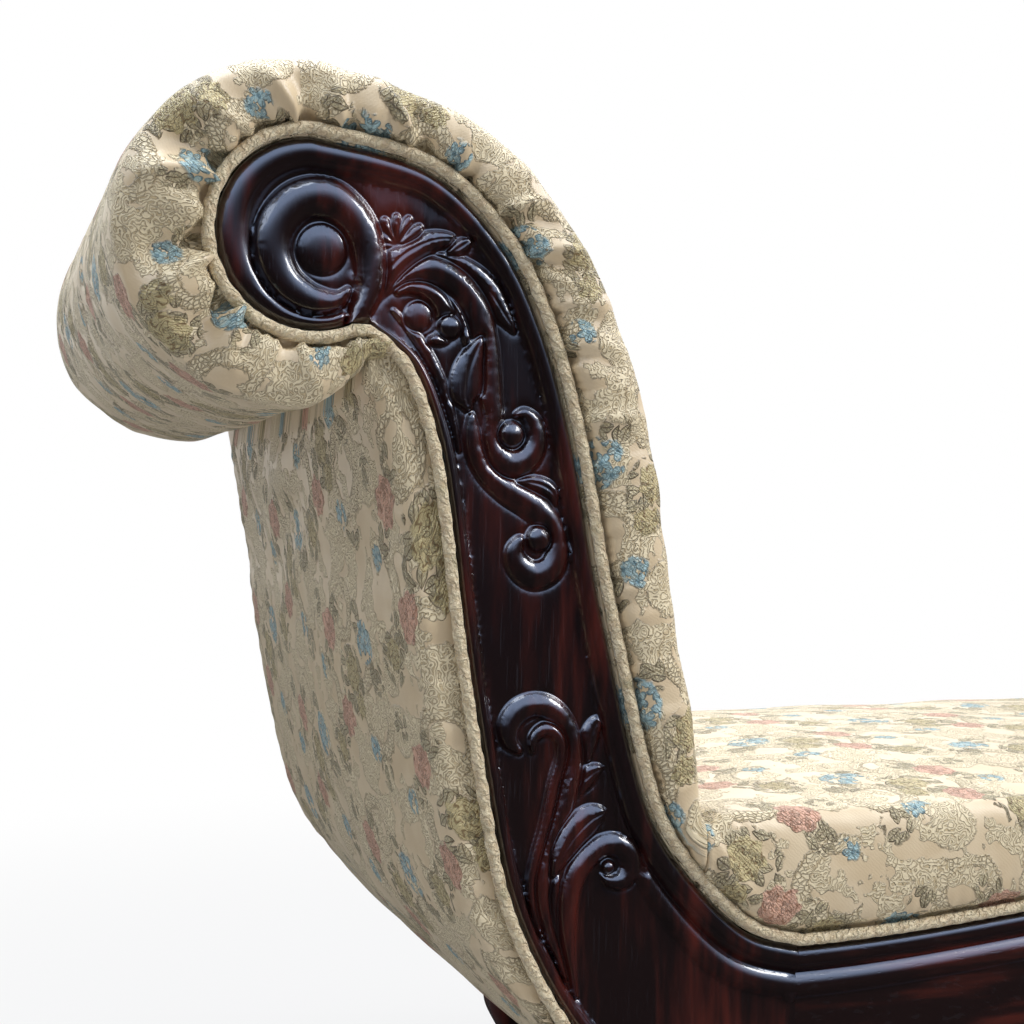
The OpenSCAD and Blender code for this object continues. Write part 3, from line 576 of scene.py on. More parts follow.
height = together([raised * (grooves * 0.9 + 0.1), figures * (lines * 0.85 + 0.35)])
w.feed(result["Color"], tint)
w.feed(result["Height"], height + stitch * (figures * 0.18 + 0.02))
w.feed(result["Thread"], together([figures, raised * grooves]))


def silkMaterial(name, **sockets):
    # a silk cloth laid out by its own map, in metres of cloth
    material, w, shader = newMaterial(name, Sheen_Weight=0.25, Sheen_Roughness=0.35,
                                      Specular_IOR_Level=0.45, **sockets)
    return material, w, shader, w.of(w.node("ShaderNodeUVMap", uv_map="cloth"))


def brocadeMaterial(name, shift):
    material, w, shader, place = silkMaterial(name, Sheen_Tint=rgb(255, 246, 220))
    weave = w.group(weaveGroup, {"Vector": place + (shift[0], shift[1], 0)})
    w.feed(shader.inputs["Base Color"], w.of(weave, "Color"))
    w.feed(shader.inputs["Roughness"], w.ramp(w.of(weave, "Thread"), 0, 1, 0.40, 0.52))
    w.relief(shader, w.of(weave, "Height"), 1.0, brocade["relief"])
    return material


seatCloth = brocadeMaterial("brocade seat", (0.0, 0.0))
endCloth = brocadeMaterial("brocade ends", (0.05, 0.03))
# the welt's cloth is cut on the bias and puckered round its cord
weltCloth, w, shader, place = silkMaterial("brocade welt", Roughness=0.5)
crumple = w.noise(place, 130.0, 3.0, 0.6)
twist = w.rows(place, 70.0, 9.0, 3.0, 2.6)
# painted shade and light: the cloth is coloured darker in the hollows of the puckers and in the
# grooves of the twist, and lighter on their crests, following the relief below
tone = w.blend(w.ramp(crumple, 0.36, 0.58), brocade["satinDark"], brocade["raised"])
tone = w.blend(w.ramp(w.noise(place, 34.0, 2.0), 0.60, 0.70), tone, brocade["leafLight"])
w.feed(shader.inputs["Base Color"],
       w.blend(w.ramp(twist, 0.0, 0.30, 0.45, 1), brocade["braid"], tone))
w.relief(shader, twist + crumple, 0.9, 0.0016)

# plain woven cloths and metal
plainGroup, w, given, result = newGroup(
    "plain weave", {"Vector": arrow, "Threads": number, "Warp": colour, "Weft": colour},
    {"Color": colour, "Height": number})
px, py, _ = w.split(given["Vector"])
over = w.math("SINE", px * given["Threads"]) * w.math("SINE", py * given["Threads"])
slub = w.noise(given["Vector"] * (1.0, 8.0, 1.0), 30.0, 3.0)
w.feed(result["Color"], w.blend(w.ramp(over + slub * 1.2, -0.6, 1.8),
                                given["Warp"], given["Weft"]))
w.feed(result["Height"], over + slub)


def wovenMaterial(name, threads, warpTone, weftTone, rough):
    material, w, shader = newMaterial(name, Roughness=rough, Sheen_Weight=0.15,
                                      Specular_IOR_Level=0.2)
    weave = w.group(plainGroup, {"Vector": w.place(), "Threads": threads, "Warp": warpTone,
                                 "Weft": weftTone})
    w.feed(shader.inputs["Base Color"], w.of(weave, "Color"))
    w.relief(shader, w.of(weave, "Height"), 0.5, 0.0005)
    return material


juteCloth = wovenMaterial("jute webbing", 2100.0, rgb(150, 116, 70), rgb(196, 164, 112), 0.9)
cambricCloth = wovenMaterial("black cambric", 4200.0, rgb(24, 24, 27), rgb(48, 48, 52), 0.85)
steelMetal, w, shader = newMaterial("spring steel", Metallic=1.0)
drawn = w.noise(w.place(), 420.0, 3.0)
w.feed(shader.inputs["Base Color"], w.blend(drawn, rgb(122, 124, 128), rgb(176, 178, 182)))
w.feed(shader.inputs["Roughness"], w.ramp(drawn, 0.3, 0.7, 0.28, 0.45))
print("materials ready")

# carved show wood
carving = {
    "pitch": 0.85, "coarse": 2.3,
    "rings": [0.025, 0.06, 0.11, 0.18, 0.27, 0.38, 0.50, 0.60, 0.65, 0.68, 0.71, 0.76, 0.84,
              0.92, 0.97, 1.0],
    "bandRings": [0.04, 0.10, 0.20, 0.35, 0.5, 0.65, 0.8, 0.9, 0.96, 1.0],
    "crest": 7.6, "band": 4.5, "moat": 1.6, "plump": 1.42, "height": 0.74,
    # powers of the sections' roundness, and the vein of a leaf
    "broad": 3, "bead": 2.9, "vein": 1.3, "veinWidth": 1.2, "tuck": -0.5,
    # least height of the sunk field, space kept free beside an edge, reach of the fine mesh
    "field": 0.5, "clear": 0.7, "fineReach": 2.4, "sharp": 80,
}
# strokes in the head's own plane: kind, height above the field, [u, v, half width] rows
headStrokes = [
    ("bead", 6.0, [
        [301.5, 452.1, 1], [292.5, 443, 2], [281.4, 429.3, 2.7], [272.3, 414, 2.8],
        [264.5, 395.3, 2.4], [258.9, 375, 1.7], [255.4, 358.1, 1]]),
    ("bead", 6.5, [
        [284.8, 469.6, 1.4], [270.9, 467.4, 2.4], [259.6, 459.1, 2.8], [252.5, 446.5, 2.8],
        [249.7, 433, 2.1], [249, 426.2, 1]]),
    ("leaf", 7.0, [
        [275.1, 490.2, 1.7], [266.7, 487.2, 4.1], [256.8, 484.3, 5.5], [244.7, 477.4, 6.6],
        [233.3, 466.3, 7], [224.7, 453.6, 5.3], [216, 440.9, 1.4]]),
    ("bead", 7.0, [
        [246.9, 382, 2.1], [246.1, 370.5, 4.5], [242.6, 355.6, 5.6], [233.3, 342, 6.6],
        [219.6, 331.1, 7.4], [205.2, 322.9, 7.8], [194.2, 313.3, 7.5], [186.9, 301.6, 6.8],
        [184, 288.4, 6.4], [189.1, 276.7, 7.1], [200.8, 272, 7.4], [211.7, 278.3, 6.7],
        [216, 287.9, 5.3], [212.4, 295.5, 3.5], [207.3, 296.8, 1.8]]),
    ("bead", 7.8, [
        [313.9, 459, 2.7], [304.2, 470.1, 4.1], [291.8, 478, 5.8], [276.5, 480.7, 6.9],
        [261.7, 476, 6.9], [249.7, 465.6, 6.9], [241.2, 451, 7], [236.2, 433.4, 6.6],
        [234, 414.4, 6.6], [232.6, 396, 6.3], [230.4, 382.3, 5.6], [230.4, 367.3, 6],
        [225.4, 354.4, 6.7], [216, 349, 7], [205.2, 353.9, 6.7], [199.3, 365.7, 5.7],
        [201.5, 378, 4.6], [208.1, 384.1, 3.2], [213.9, 383.3, 1.8]]),
    ("bead", 8.0, [
        [298.7, 464.3, 1.4], [290.4, 467.3, 2.7], [280, 466.4, 3.8], [270.9, 460.7, 4.5],
        [265.2, 451.4, 4.8], [263.8, 440.6, 5.2], [268.8, 434.4, 4.1], [275.1, 432.8, 2.1]]),
    ("leaf", 7.5, [
        [239.7, 435.3, 1.4], [244, 426.3, 4.9], [248.3, 415.3, 7.6], [250.4, 404.4, 8.7],
        [251.1, 394.9, 7.6], [249.7, 388.8, 3.1]]),
    ("leaf", 6.5, [
        [212.4, 337.3, 1.1], [204.4, 336.7, 3.2], [195.7, 334.7, 4.3], [188.4, 329.9, 3.9],
        [185.4, 322.3, 1.4]]),
    ("leaf", 8.8, [
        [318.7, 454.8, 1.7], [312.5, 465.7, 4.4], [305.6, 478, 6.1], [297.3, 487.8, 6.8],
        [286.2, 495.1, 6.2], [273.7, 500.4, 5.2], [262.4, 501.7, 3.5], [257.5, 499.9, 1.4]]),
    ("leaf", 8.0, [
        [262.4, 492.9, 1.4], [257.5, 495.1, 3.5], [251.8, 498.8, 3.8], [247.6, 501.7, 1.4]]),
]
coilStrokes = [("broad", 8.8, [
    [332, 438, 4.5], [324, 452, 8.5], [318.5, 470, 11.3], [319, 491, 12.4], [328, 512, 13.6],
    [346, 525, 14.6], [366, 522, 14.8], [380.5, 506, 14.4], [383.5, 487, 14], [376, 469.5, 13],
    [362, 459, 11.6], [348, 456, 9.2], [338.5, 458.5, 6], [333, 464.5, 2.5]])]
sprayStrokes = [
    ("bead", 5.5, [
        [184.7, 61.5, 1.8], [186.2, 44.3, 3.2], [184.7, 23.5, 3.2], [178.8, 2.2, 2.1],
        [172.2, -19.2, 1.1]]),
    ("leaf", 6.5, [
        [165.5, 131.1, 1.4], [164, 145, 4.3], [160.3, 158.7, 5.4], [155.8, 168.3, 4],
        [152.8, 172.4, 1.1]]),
    ("leaf", 7.0, [
        [175.1, 112.2, 1.4], [169.9, 123, 4.7], [162.5, 131, 5.8], [155.1, 135.5, 3.6],
        [150.6, 136.7, 1.1]]),
    ("bead", 7.5, [
        [212.4, 151.3, 2.1], [218.9, 158.4, 4.6], [219.6, 168.7, 6.3], [213.1, 178.1, 6.7],
        [201.5, 182.5, 6.4], [189.8, 180, 6.1], [180.3, 171.3, 5.7], [174.4, 157.9, 5.4],
        [172.9, 142.6, 5.4], [175.1, 126.7, 5.4], [179.5, 111, 5.4], [184.7, 94.7, 5.4],
        [190.6, 79.2, 5], [195, 62.2, 4.6], [195.7, 45, 3.9], [190.6, 23.9, 3.2],
        [183.2, 4.7, 2.1], [177.3, -11.8, 1.1]]),
    ("bead", 6.8, [
        [202.3, 150.1, 1.4], [202.3, 158.4, 2.8], [196.4, 164.4, 3.6], [188.4, 164, 3.6],
        [182.5, 156.9, 3.2], [182.5, 144.4, 3.2], [186.9, 129.4, 3.2], [190.6, 113.7, 3.2],
        [195, 96.7, 2.8], [200.8, 77.7, 2.8], [204.4, 59.4, 2.5], [202.3, 40.6, 1.8],
        [195.7, 20.9, 1.1]]),
    ("bead", 7.5, [
        [169.9, -22.8, 1.1], [174.4, 1.9, 2.9], [176.6, 26.3, 4.7], [175.1, 47, 5.7],
        [169.2, 64.6, 6.1], [158.1, 77.1, 6.1], [145.3, 82.6, 6.2], [133.3, 77.7, 6.6],
        [128.8, 66.2, 6.2], [135.6, 56.8, 5.1], [145.3, 56.8, 3.3], [150.6, 62, 1.4]]),
    ("leaf", 8.5, [
        [187.6, 64.5, 1.8], [181.8, 77.2, 5.7], [172.9, 89.9, 7.5], [161.8, 100.3, 7.9],
        [152.8, 104.7, 5.1], [149.1, 105.9, 1.4]]),
]
# a dome is a stroke of one row
headDomes = [("dome", 7.4, [[262.4, 442, 8.4]]), ("dome", 7.6, [[218.2, 369.5, 9.6]]),
             ("dome", 7.2, [[198.6, 297.5, 9.4]]), ("dome", 3.0, [[284.2, 448.7, 10.5]])]
coilDomes = [("dome", 4.0, [[350.4, 491.0, 17.6]])]
sprayDomes = [("dome", 6.0, [[146.8, 66.7, 5.0]])]
fan = {"centre": (297.3, 496), "reach": 19, "width": 4.0, "height": 3.0,
       "angles": [5, 32, 58, 84, 110, 138]}


def moved(strokes, pin, onto, scale):
    # strokes drawn smaller round a pin, which comes to lie on another place
    pin, onto = np.array(pin), np.array(onto)
    return [(kind, high * (0.45 + 0.55 * scale),
             [[*(onto + (np.array(q[:2]) - pin) * scale), q[2] * scale] for q in rows])
            for kind, high, rows in strokes]


def fanStrokes():
    strokes = []
    for angle in fan["angles"]:
        d = np.array([math.cos(math.radians(angle)), math.sin(math.radians(angle))])
        rows = [[*(np.array(fan["centre"]) + d * fan["reach"] * t), fan["width"] * r]
                for t, r in ((0.12, 0.25), (0.4, 0.7), (0.75, 1.0), (1.0, 0.75))]
        strokes.append(("bead", fan["height"], rows))
    return strokes


def nearest(points, path):
    # distance to a path, and how far along it the nearest point lies (in segments)
    away = np.full(len(points), 1e9)
    where = np.zeros(len(points))
    a, b = path[:-1, :2], path[1:, :2]
    d = b - a
    length = np.maximum((d ** 2).sum(1), 1e-9)
    for s in range(0, len(points), 4000):
        p = points[s:s + 4000, None, :2]
        t = np.clip(((p - a) * d).sum(2) / length, 0, 1)
        gap = np.linalg.norm(p - (a + d * t[..., None]), axis=2)
        k = gap.argmin(1)
        rows = np.arange(len(k))
        away[s:s + 4000] = gap[rows, k]
        where[s:s + 4000] = k + t[rows, k]
    return away, where


def borderHeight(away, bead, band):
    # bead with a slight second ridge, then a lower hollow band
    t = away / np.maximum(bead, 0.1)
    x = np.where(t < 0.40, (0.40 - t) / 0.40 * 0.84, (t - 0.40) / 0.60)
    high = carving["crest"] * np.clip(1 - np.abs(x) ** 2.5, 0, 1) * np.minimum(1, bead / 8)
    high -= 0.8 * np.exp(-((t - 0.68) / 0.05) ** 2) * np.minimum(1, bead / 10)
    s = (away - bead) / np.maximum(band, 0.1)
    low = carving["band"] * np.minimum(1, band / 12) * np.clip(
        1 - np.abs(np.clip(2 * s - 1, -1, 1)) ** 2.2, 0, 1)
    return np.where(t < 1, high, np.where((s < 1) & (band > 0.2), low, 0))


def strokePath(rows):
    # a dome's one row is drawn out by a hair, so that it has a direction
    if len(rows) > 1:
        return smoothPath(rows, 6)
    u, v, radius = rows[0]
    return np.array([[u, v, radius], [u + 0.01, v, radius]])


def around(points, path, margin):
    # the points that lie near a path, how far off it, and its half width there
    reach = path[:, 2].max() + margin
    low, up = path[:, :2].min(0) - reach, path[:, :2].max(0) + reach
    pick = np.nonzero(((points > low) & (points < up)).all(1))[0]
    if not len(pick):
        return pick, np.zeros(0), np.ones(0)
    away, where = nearest(points[pick], path)
    return pick, away, np.interp(where, np.arange(len(path)), path[:, 2])


def edgeDistance(points, paths):
    # distance to the closest edge of a stroke, where the mesh has to be fine
    far = np.full(len(points), 99.0)
    for kind, _, path in paths:
        pick, away, radius = around(points, path, 5)
        close = np.abs(away - radius)
        if kind == "leaf":
            close = np.minimum(close, away)
        far[pick] = np.minimum(far[pick], close)
    return far


def carve(points, high, paths):
    for kind, top, path in paths:
        pick, away, radius = around(points, path, 6)
        x = np.clip(away / radius, 0, 1)
        thin = np.minimum(1, 0.35 + radius / 5.0)
        edge = carving["tuck"] * thin
        if kind == "dome":
            shape = edge + (top - edge) * (0.60 * (1 - x ** 8) + 0.40 * (1 - x ** 2.2))
        elif kind == "leaf":
            shape = edge + (top * thin - edge) * (1 - x ** 2.8) * (0.86 + 0.18 * x ** 2)
            shape -= carving["vein"] * thin * np.exp(-(away / carving["veinWidth"]) ** 2)
        else:
            shape = edge + (top * thin - edge) * (1 - x ** carving[kind])
        beside = np.exp(-(np.maximum(away - radius, 0) / carving["moat"]) ** 2)
        base = high[pick]
        high[pick] = np.where(away < radius, shape, base + (edge - base) * beside)
    return high


def softened(high, triangles, share, rounds=3):
    # each point drawn towards its neighbours, as sanding and polish do
    t = np.array(triangles)
    a, b = np.concatenate([t[:, :2], t[:, 1:], t[:, [2, 0]]]).T
    count = np.maximum(np.bincount(a, minlength=len(high)), 1)
    for _ in range(rounds):
        mean = np.bincount(a, weights=high[b], minlength=len(high)) / count
        high = high + (mean - high) * share
    return high


def plumper(strokes):
    return [(kind, top * carving["height"], [[u, v, r * carving["plump"]] for u, v, r in rows])
            for kind, top, rows in strokes]


def gridOver(low, up, pitch):
    u, v = np.meshgrid(np.arange(low[0] + 1, up[0], pitch),
                       np.arange(low[1] + 1, up[1], pitch * 0.9), indexing="ij")
    return np.stack([(u + (np.arange(v.shape[1]) % 2) * pitch / 2).ravel(), v.ravel()], 1)


def carvedBoard(key, side, strokes):
    end, front = ends[key], side == "front"
    n = 14
    paths = [(kind, top, strokePath(rows)) for kind, top, rows in strokes]
    inner, outer = innerCurve(end, n), outerCurve(end, n)
    heel, base = outer[-1], -couch["railHeight"]
    run = np.vstack([inner, outer, np.linspace(heel, (0, heel[1]), 24)[1:]])
    run = run[np.concatenate([[True], np.linalg.norm(np.diff(run, axis=0), axis=1) > 0.2])]
    # the mouldings run on past the joint with the rail
    longRun = np.vstack([[[-40, 0.7]], run, [[-40, base]]])
    loop = np.vstack([run, np.linspace((0, base), (0, 0), 46)[1:-1]])
    count = len(loop)
    table = np.array(end["border"], float)
    _, where = nearest(table[:, :2], longRun)
    where = np.maximum.accumulate(where)

    def mouldAt(stations):
        # widths of the bead and of the band at places along the outline
        return [np.interp(stations, where, table[:, k]) for k in (2, 3)]

    # rings of points that follow the mouldings
    normal = sides(longRun)[1:-1]
    bead, band = mouldAt(np.arange(1, len(run) + 1))
    rings = [(bead * share, True) for share in carving["rings"]]
    rings += [(bead + band * share, band > 1.5) for share in carving["bandRings"]]
    points = [loop]
    for depth, here in rings:
        ring = run - normal * depth[:, None]
        away, _ = nearest(ring, longRun)
        points.append(ring[(away > depth - 0.12) & (ring[:, 0] > 0.6)
                           & insideLoop(ring, loop) & here])
    low, up = loop.min(0), loop.max(0)
    for pitch, fine in ((carving["pitch"], True), (carving["coarse"], False)):
        grid = gridOver(low, up, pitch)
        grid = grid[insideLoop(grid, loop) & (grid[:, 0] > 0.8)]
        close = edgeDistance(grid, paths)
        reach = carving["fineReach"]
        grid = grid[close < reach] if fine else grid[close > reach + pitch * 0.4]
        away, at = nearest(grid, longRun)
        bead, band = mouldAt(at)
        points.append(grid[away > bead + band + carving["clear"]])
    points = np.vstack(points)
    made = geometry.delaunay_2d_cdt([Vector(p) for p in points.tolist()],
                                    [(i, (i + 1) % count) for i in range(count)], [], 1, 1e-6)
    flat = np.array([list(p) for p in made[0]])
    triangles = [list(f) for f in made[2]]
    away, at = nearest(flat, longRun)
    bead, band = mouldAt(at)
    field = carving["field"] + 0.05 * waves(flat[:, 0] * 0.7 + flat[:, 1], 3, 90)
    high = carve(flat, np.maximum(borderHeight(away, bead, band), field), paths)
    high = softened(high, triangles, 0.55 * smooth((away - bead - band) / 3))
    sign = -1 if front else 1
    ground = couch["yOut"] - couch["sink"]
    face = inRoom(end, flat, sign * (ground + high))
    # the sides and the back, from the same outline
    shoulder = inRoom(end, flat[:count], sign * (ground + high[:count] - 3))
    back = inRoom(end, flat[:count], sign * couch["yIn"])
    starts = [0, len(face), len(face) + count]
    walls = [[a + i, a + (i + 1) % count, b + (i + 1) % count, b + i]
             for a, b in zip(starts, starts[1:]) for i in range(count)]
    faces = triangles + walls + [list(range(starts[2], starts[2] + count))]
    if (end["sign"] < 0) == front:
        faces = turned(faces)
    newPiece(f"carved_{key}_facing_{side}", np.vstack([face, shoulder, back]), faces,
             uprightWood, [f"{key}_facing_{side}"], sharp=carving["sharp"])


def insideLoop(points, loop):
    inside = np.zeros(len(points), bool)
    following = np.roll(loop, -1, axis=0)
    for (ax, ay), (bx, by) in zip(loop, following):
        if ay == by:
            continue
        crosses = (ay > points[:, 1]) != (by > points[:, 1])
        inside ^= crosses & (points[:, 0] < (bx - ax) * (points[:, 1] - ay) / (by - ay) + ax)
    return inside


headStrokes, sprayStrokes = plumper(headStrokes), plumper(sprayStrokes)
headCarving = (headStrokes + sprayStrokes + fanStrokes() + coilStrokes
               + headDomes + sprayDomes + coilDomes)
# the foot's smaller board has a choice of the same strokes
ontoHeel = ((174, 80), (101, 34), 0.60)
ontoVolute = (*(onVolute(end, 0, -end["radius"]) for end in ends.values()), 0.69)
footCarving = (
    moved(headStrokes[2:3] + headStrokes[-2:], (317, 443), (151, 158), 0.58)
    + moved(sprayStrokes, *ontoHeel) + moved(coilStrokes, *ontoVolute)
    + moved(sprayDomes, *ontoHeel) + moved(coilDomes, *ontoVolute))
for side in ("front", "back"):
    carvedBoard("head", side, headCarving)
    carvedBoard("foot", side, footCarving)
print("facings carved")

# moulded rails
railMould = {
    "stations": 121, "topBead": 20, "topBand": 20, "bottomBead": 15,
    "field": [42, 46, 52, 60, 70, 80, 90, 98, 104]}


def mouldedRail(side):
    x = np.linspace(couch["headX"], couch["footX"], railMould["stations"])
    rings, bandRings = np.array(carving["rings"]), np.array(carving["bandRings"])
    levels = np.concatenate([
        [0], railMould["topBead"] * rings,
        railMould["topBead"] + railMould["topBand"] * bandRings, railMould["field"]])
    fromBottom = np.concatenate([[17], railMould["bottomBead"] * rings[::-1], [0]])
    top = couch["railTop"] + archAt(x)
    high = np.maximum(np.concatenate([
        borderHeight(levels, railMould["topBead"], railMould["topBand"]),
        borderHeight(fromBottom, railMould["bottomBead"], 0)]), carving["field"])
    z = np.concatenate([top[:, None] - levels, np.broadcast_to(
        couch["railBase"] + fromBottom, (len(x), len(fromBottom)))], 1)
    sign = -1 if side == "front" else 1
    y = sign * (couch["yOut"] - couch["sink"] + np.broadcast_to(high, z.shape))
    rings = np.stack([np.broadcast_to(x[:, None], z.shape), y, z], -1)
    rear = np.stack([np.stack([x, np.full_like(x, sign * couch["yIn"]), h], -1)
                     for h in (np.full_like(x, couch["railBase"]), top)], 1)
    rings = np.concatenate([rings, rear], 1)
    faces = tubeFaces(*rings.shape[:2])
    if side == "back":
        faces = turned(faces)
    newPiece(f"moulded_{side}_rail", rings.reshape(-1, 3), faces, railWood,
             [f"{side}_rail"], sharp=50)


mouldedRail("front")
mouldedRail("back")
print("rails moulded")

# upholstery
upholstery = {
    "fine": 24, "step": 3.0,
    "side": 9, "top": 12,
    "coverEdge": [[-0.72, 0.12], [-1, 0.45], [-0.35, 0.86], [2.4, 1]],
    "panelEdge": [[0.45, 0.45], [3, 0.60], [12, 0.80], [26, 1]],
    "panelBack": [[0.45, 0.45], [1.6, 0.78], [5, 0.96], [14, 1]],
    "seatEdge": [[-0.72, 0.12], [-1, 0.52], [-0.2, 0.92], [2.6, 1]],
    "crown": [[-0.55, 0.75], [-0.2, 0.97], [0.2, 0.97], [0.55, 0.75]],
    # folds of the end cushions: how far they run on to the top, and how steep a ridge is
    "foldReach": 62, "ridge": 1.7, "ridgePower": 1.25, "seatRound": 8,
}


def coverLines(end):
    # base line of an end's cover and the tops over it; the first tops fan from the seat, and
    # the last ones draw in round the notch
    n = upholstery["fine"]
    curve = innerCurve(end, n)
    normal, pad = sides(curve), innerPad(end, n)
    tops = curve + normal * pad[:, None]
    base = curve + normal * couch["bed"]
    first = 2 * n
    over = np.nonzero(tops[first:, 1] > couch["seatRise"] + couch["gap"])[0][0]
    start = np.array([tops[first + over][0], couch["seatRise"]])
    fanned = tops[first:].copy()
    t = (np.arange(over) / over)[:, None]
    fanned[:over] = lerp(start, tops[first + over], t)
    notch = outerCurve(end, n)[: n // 2]
    tuck = notch + sides(notch) * couch["bed"]
    t = np.linspace(0, 1, len(tuck) + 1)[1:, None]
    last = fanned[-1] - base[-1]
    reach = last * (1 - 0.80 * t ** 0.8) + np.array([-2.0, 0.5]) * t
    return np.vstack([base[first:], tuck]), np.vstack([fanned, tuck + reach])


def evenStations(base, tops, step):
    run = (along(base) + along(tops)) / 2
    at = np.linspace(0, run[-1], int(run[-1] / step))
    return tuple(np.stack([np.interp(at, run, p[:, k]) for k in (0, 1)], 1)
                 for p in (base, tops))


def paddedForm(base, tops, front, back, crowns=None):
    # rings over a base line: y across the couch from the back, and height from base to top
    heights = np.linalg.norm(tops - base, axis=1)
    direction = (tops - base) / heights[:, None]
    low = np.minimum(2 * couch["weltRadius"] + couch["gap"], 0.6 * heights)
    full = np.clip(heights / 18, 0, 1)
    seam = np.full_like(heights, couch["yOut"] - couch["weltRadius"])

    def half(edge):
        return [(seam, np.zeros_like(heights)), (seam, low)] + [
            (couch["yOut"] - s[0] * couch["puff"] * full, lerp(low, heights, s[1])) for s in edge]

    across = [np.stack([-y, up], -1) for y, up in half(front)]
    if crowns is not None:
        across += [np.stack([np.full_like(heights, s[0] * couch["yOut"]),
                             heights + s[1] * crowns], -1) for s in upholstery["crown"]]
    across += [np.stack(q, -1) for q in half(back)[::-1]]
    controls = np.stack(across, 1)
    total = controls.shape[1]
    knots, dense = [], 36
    for k in range(total - 1):
        steps = upholstery["side"] if k < 5 or k >= total - 6 else upholstery["top"]
        knots += (k * dense + np.round(np.arange(steps) * dense / steps)).astype(int).tolist()
    knots.append((total - 1) * dense)
    section = np.einsum("mk,skc->smc", smoothPath(np.eye(total), dense)[knots], controls)
    y, up = section[..., 0], section[..., 1]
    plane = base[:, None] + direction[:, None] * up[..., None]
    # cloth length across, measured from the middle of the couch
    steps = np.linalg.norm(np.diff(section, axis=1), axis=2)
    cloth = np.cumsum(np.concatenate([np.zeros((len(base), 1)), steps], 1), 1)
    middle = np.abs(y).argmin(1)
    cloth -= cloth[np.arange(len(base)), middle][:, None]
    return plane, y, up, cloth, heights[:, None]


def shellNormals(points):
    n = np.cross(np.gradient(points, axis=0), np.gradient(points, axis=1))
    return n / np.maximum(np.linalg.norm(n, axis=2), 1e-9)[..., None]


def closedForm(name, points, uv, material, stands, flip):
    # the shell, its flat underside and its two ends, as one closed piece
    faces = tubeFaces(*points.shape[:2])
    piece = newPiece(name, points.reshape(-1, 3), turned(faces) if flip else faces, material,
                     stands, uv=uv.reshape(-1, 2))


# big folds of the head's end face: inner point, outer point, width and size
headFolds = [
    [422, 544, 464, 564, 16, 9.5], [432, 492, 486, 480, 17, 10.5], [418, 454, 445, 423, 16, 9.5],
    [372, 436, 380, 398, 12, 3.0], [360, 581, 373, 606, 12, 6.0], [330, 572, 338, 604, 11, 3.5],
    [278, 550, 302, 585, 14, 5.5], [253, 538, 243, 566, 11, 3.0], [228, 519, 185, 508, 13, 5.5],
    [196, 500, 163, 474, 12, 5.0], [177, 463, 146, 440, 11, 3.4], [163, 432, 133, 412, 11, 2.8],
    [152, 380, 120, 366, 12, 1.8], [396, 576, 424, 604, 13, 3.5]]
footFolds = [(0.36, -10), (0.46, -8), (0.56, 0), (0.65, 8), (0.73, 12), (0.82, 14), (0.90, 8)]


def foldMarks(base, tops, rows):
    run = along(base)
    marks = []
    for u, v, u2, v2, width, size in rows:
        a = np.linalg.norm(base - (u, v), axis=1).argmin()
        b = np.linalg.norm(tops - (u2, v2), axis=1).argmin()
        marks.append((run[a], run[b] - run[a], width, size))
    return marks


def folds(place, up, heights, y, marks, seed):
    # gathers of the cover: big folds at the marked places, puckers all along the welt
    share = np.clip(up / heights, 0, 1)
    place = place[:, None]
    fade = 1 - smooth((couch["yOut"] - np.abs(y)) / upholstery["foldReach"])
    fade *= smooth(up / 12)
    inFace = fade * (1 - 0.92 * smooth((share - 0.55) / 0.45))
    out = np.zeros_like(up)
    for at, drift, width, size in marks:
        x = (place - at - drift * share) / (width * (0.42 + 0.78 * share))
        ridge = np.exp(-upholstery["ridge"] * np.abs(x) ** upholstery["ridgePower"])
        valleys = (1.15 * np.exp(-((x - 1.05) / 0.40) ** 2)
                   + 0.35 * np.exp(-((x + 1.4) / 0.7) ** 2))
        out += size * inFace * (ridge - valleys)
    out += 1.5 * np.exp(-up / 20) * smooth(up / 5) * waves(place, seed, 9)
    out += 1.2 * inFace * np.exp(-share * 1.1) * waves(place + 5 * share, seed + 1, 22)
    out += 0.8 * fade * waves(place, seed + 2, 110) * share
    return out


def coverCushion(key, marks, seed):
    end = ends[key]
    base, tops = evenStations(*coverLines(end), upholstery["step"])
    plane, y, up, cloth, heights = paddedForm(
        base, tops, upholstery["coverEdge"], upholstery["coverEdge"], np.zeros(len(base)))
    points = inRoom(end, plane, y)
    run, topRun = along(base), along(tops)
    rearMarks = [(at + 9, -drift * 0.6, width, size * 0.9) for at, drift, width, size in marks]
    push = np.where(y < 0, folds(run, up, heights, y, marks, seed),
                    folds(run, up, heights, y, rearMarks, seed + 10))
    # soft unevenness of the stuffing across the top
    swell = 1.4 * waves(topRun, seed + 5, 160)[:, None] * waves(y, seed + 6, 300)
    swell += 0.5 * waves(topRun, seed + 7, 45)[:, None] * waves(y, seed + 8, 60)
    push += swell * smooth(up / heights * 1.2 - 0.2)
    push *= smooth(np.minimum(run, (run[-1] - run) * 0.7) / 26)[:, None]
    points = points - shellNormals(points) * (end["sign"] * push)[..., None]
    uv = np.stack([cloth, np.broadcast_to(topRun[:, None], cloth.shape)], -1)
    closedForm(f"{key}_cushion", points, uv, endCloth, [f"{key}_cover", f"{key}_pad"],
               end["sign"] > 0)


headMarks = foldMarks(*evenStations(*coverLines(ends["head"]), upholstery["step"]), headFolds)
coverCushion("head", headMarks, 11)
footRun = along(evenStations(*coverLines(ends["foot"]), upholstery["step"])[0])[-1]
coverCushion("foot", [(footRun * s, d, 10, 3.4) for s, d in footFolds], 31)
print("end cushions made")


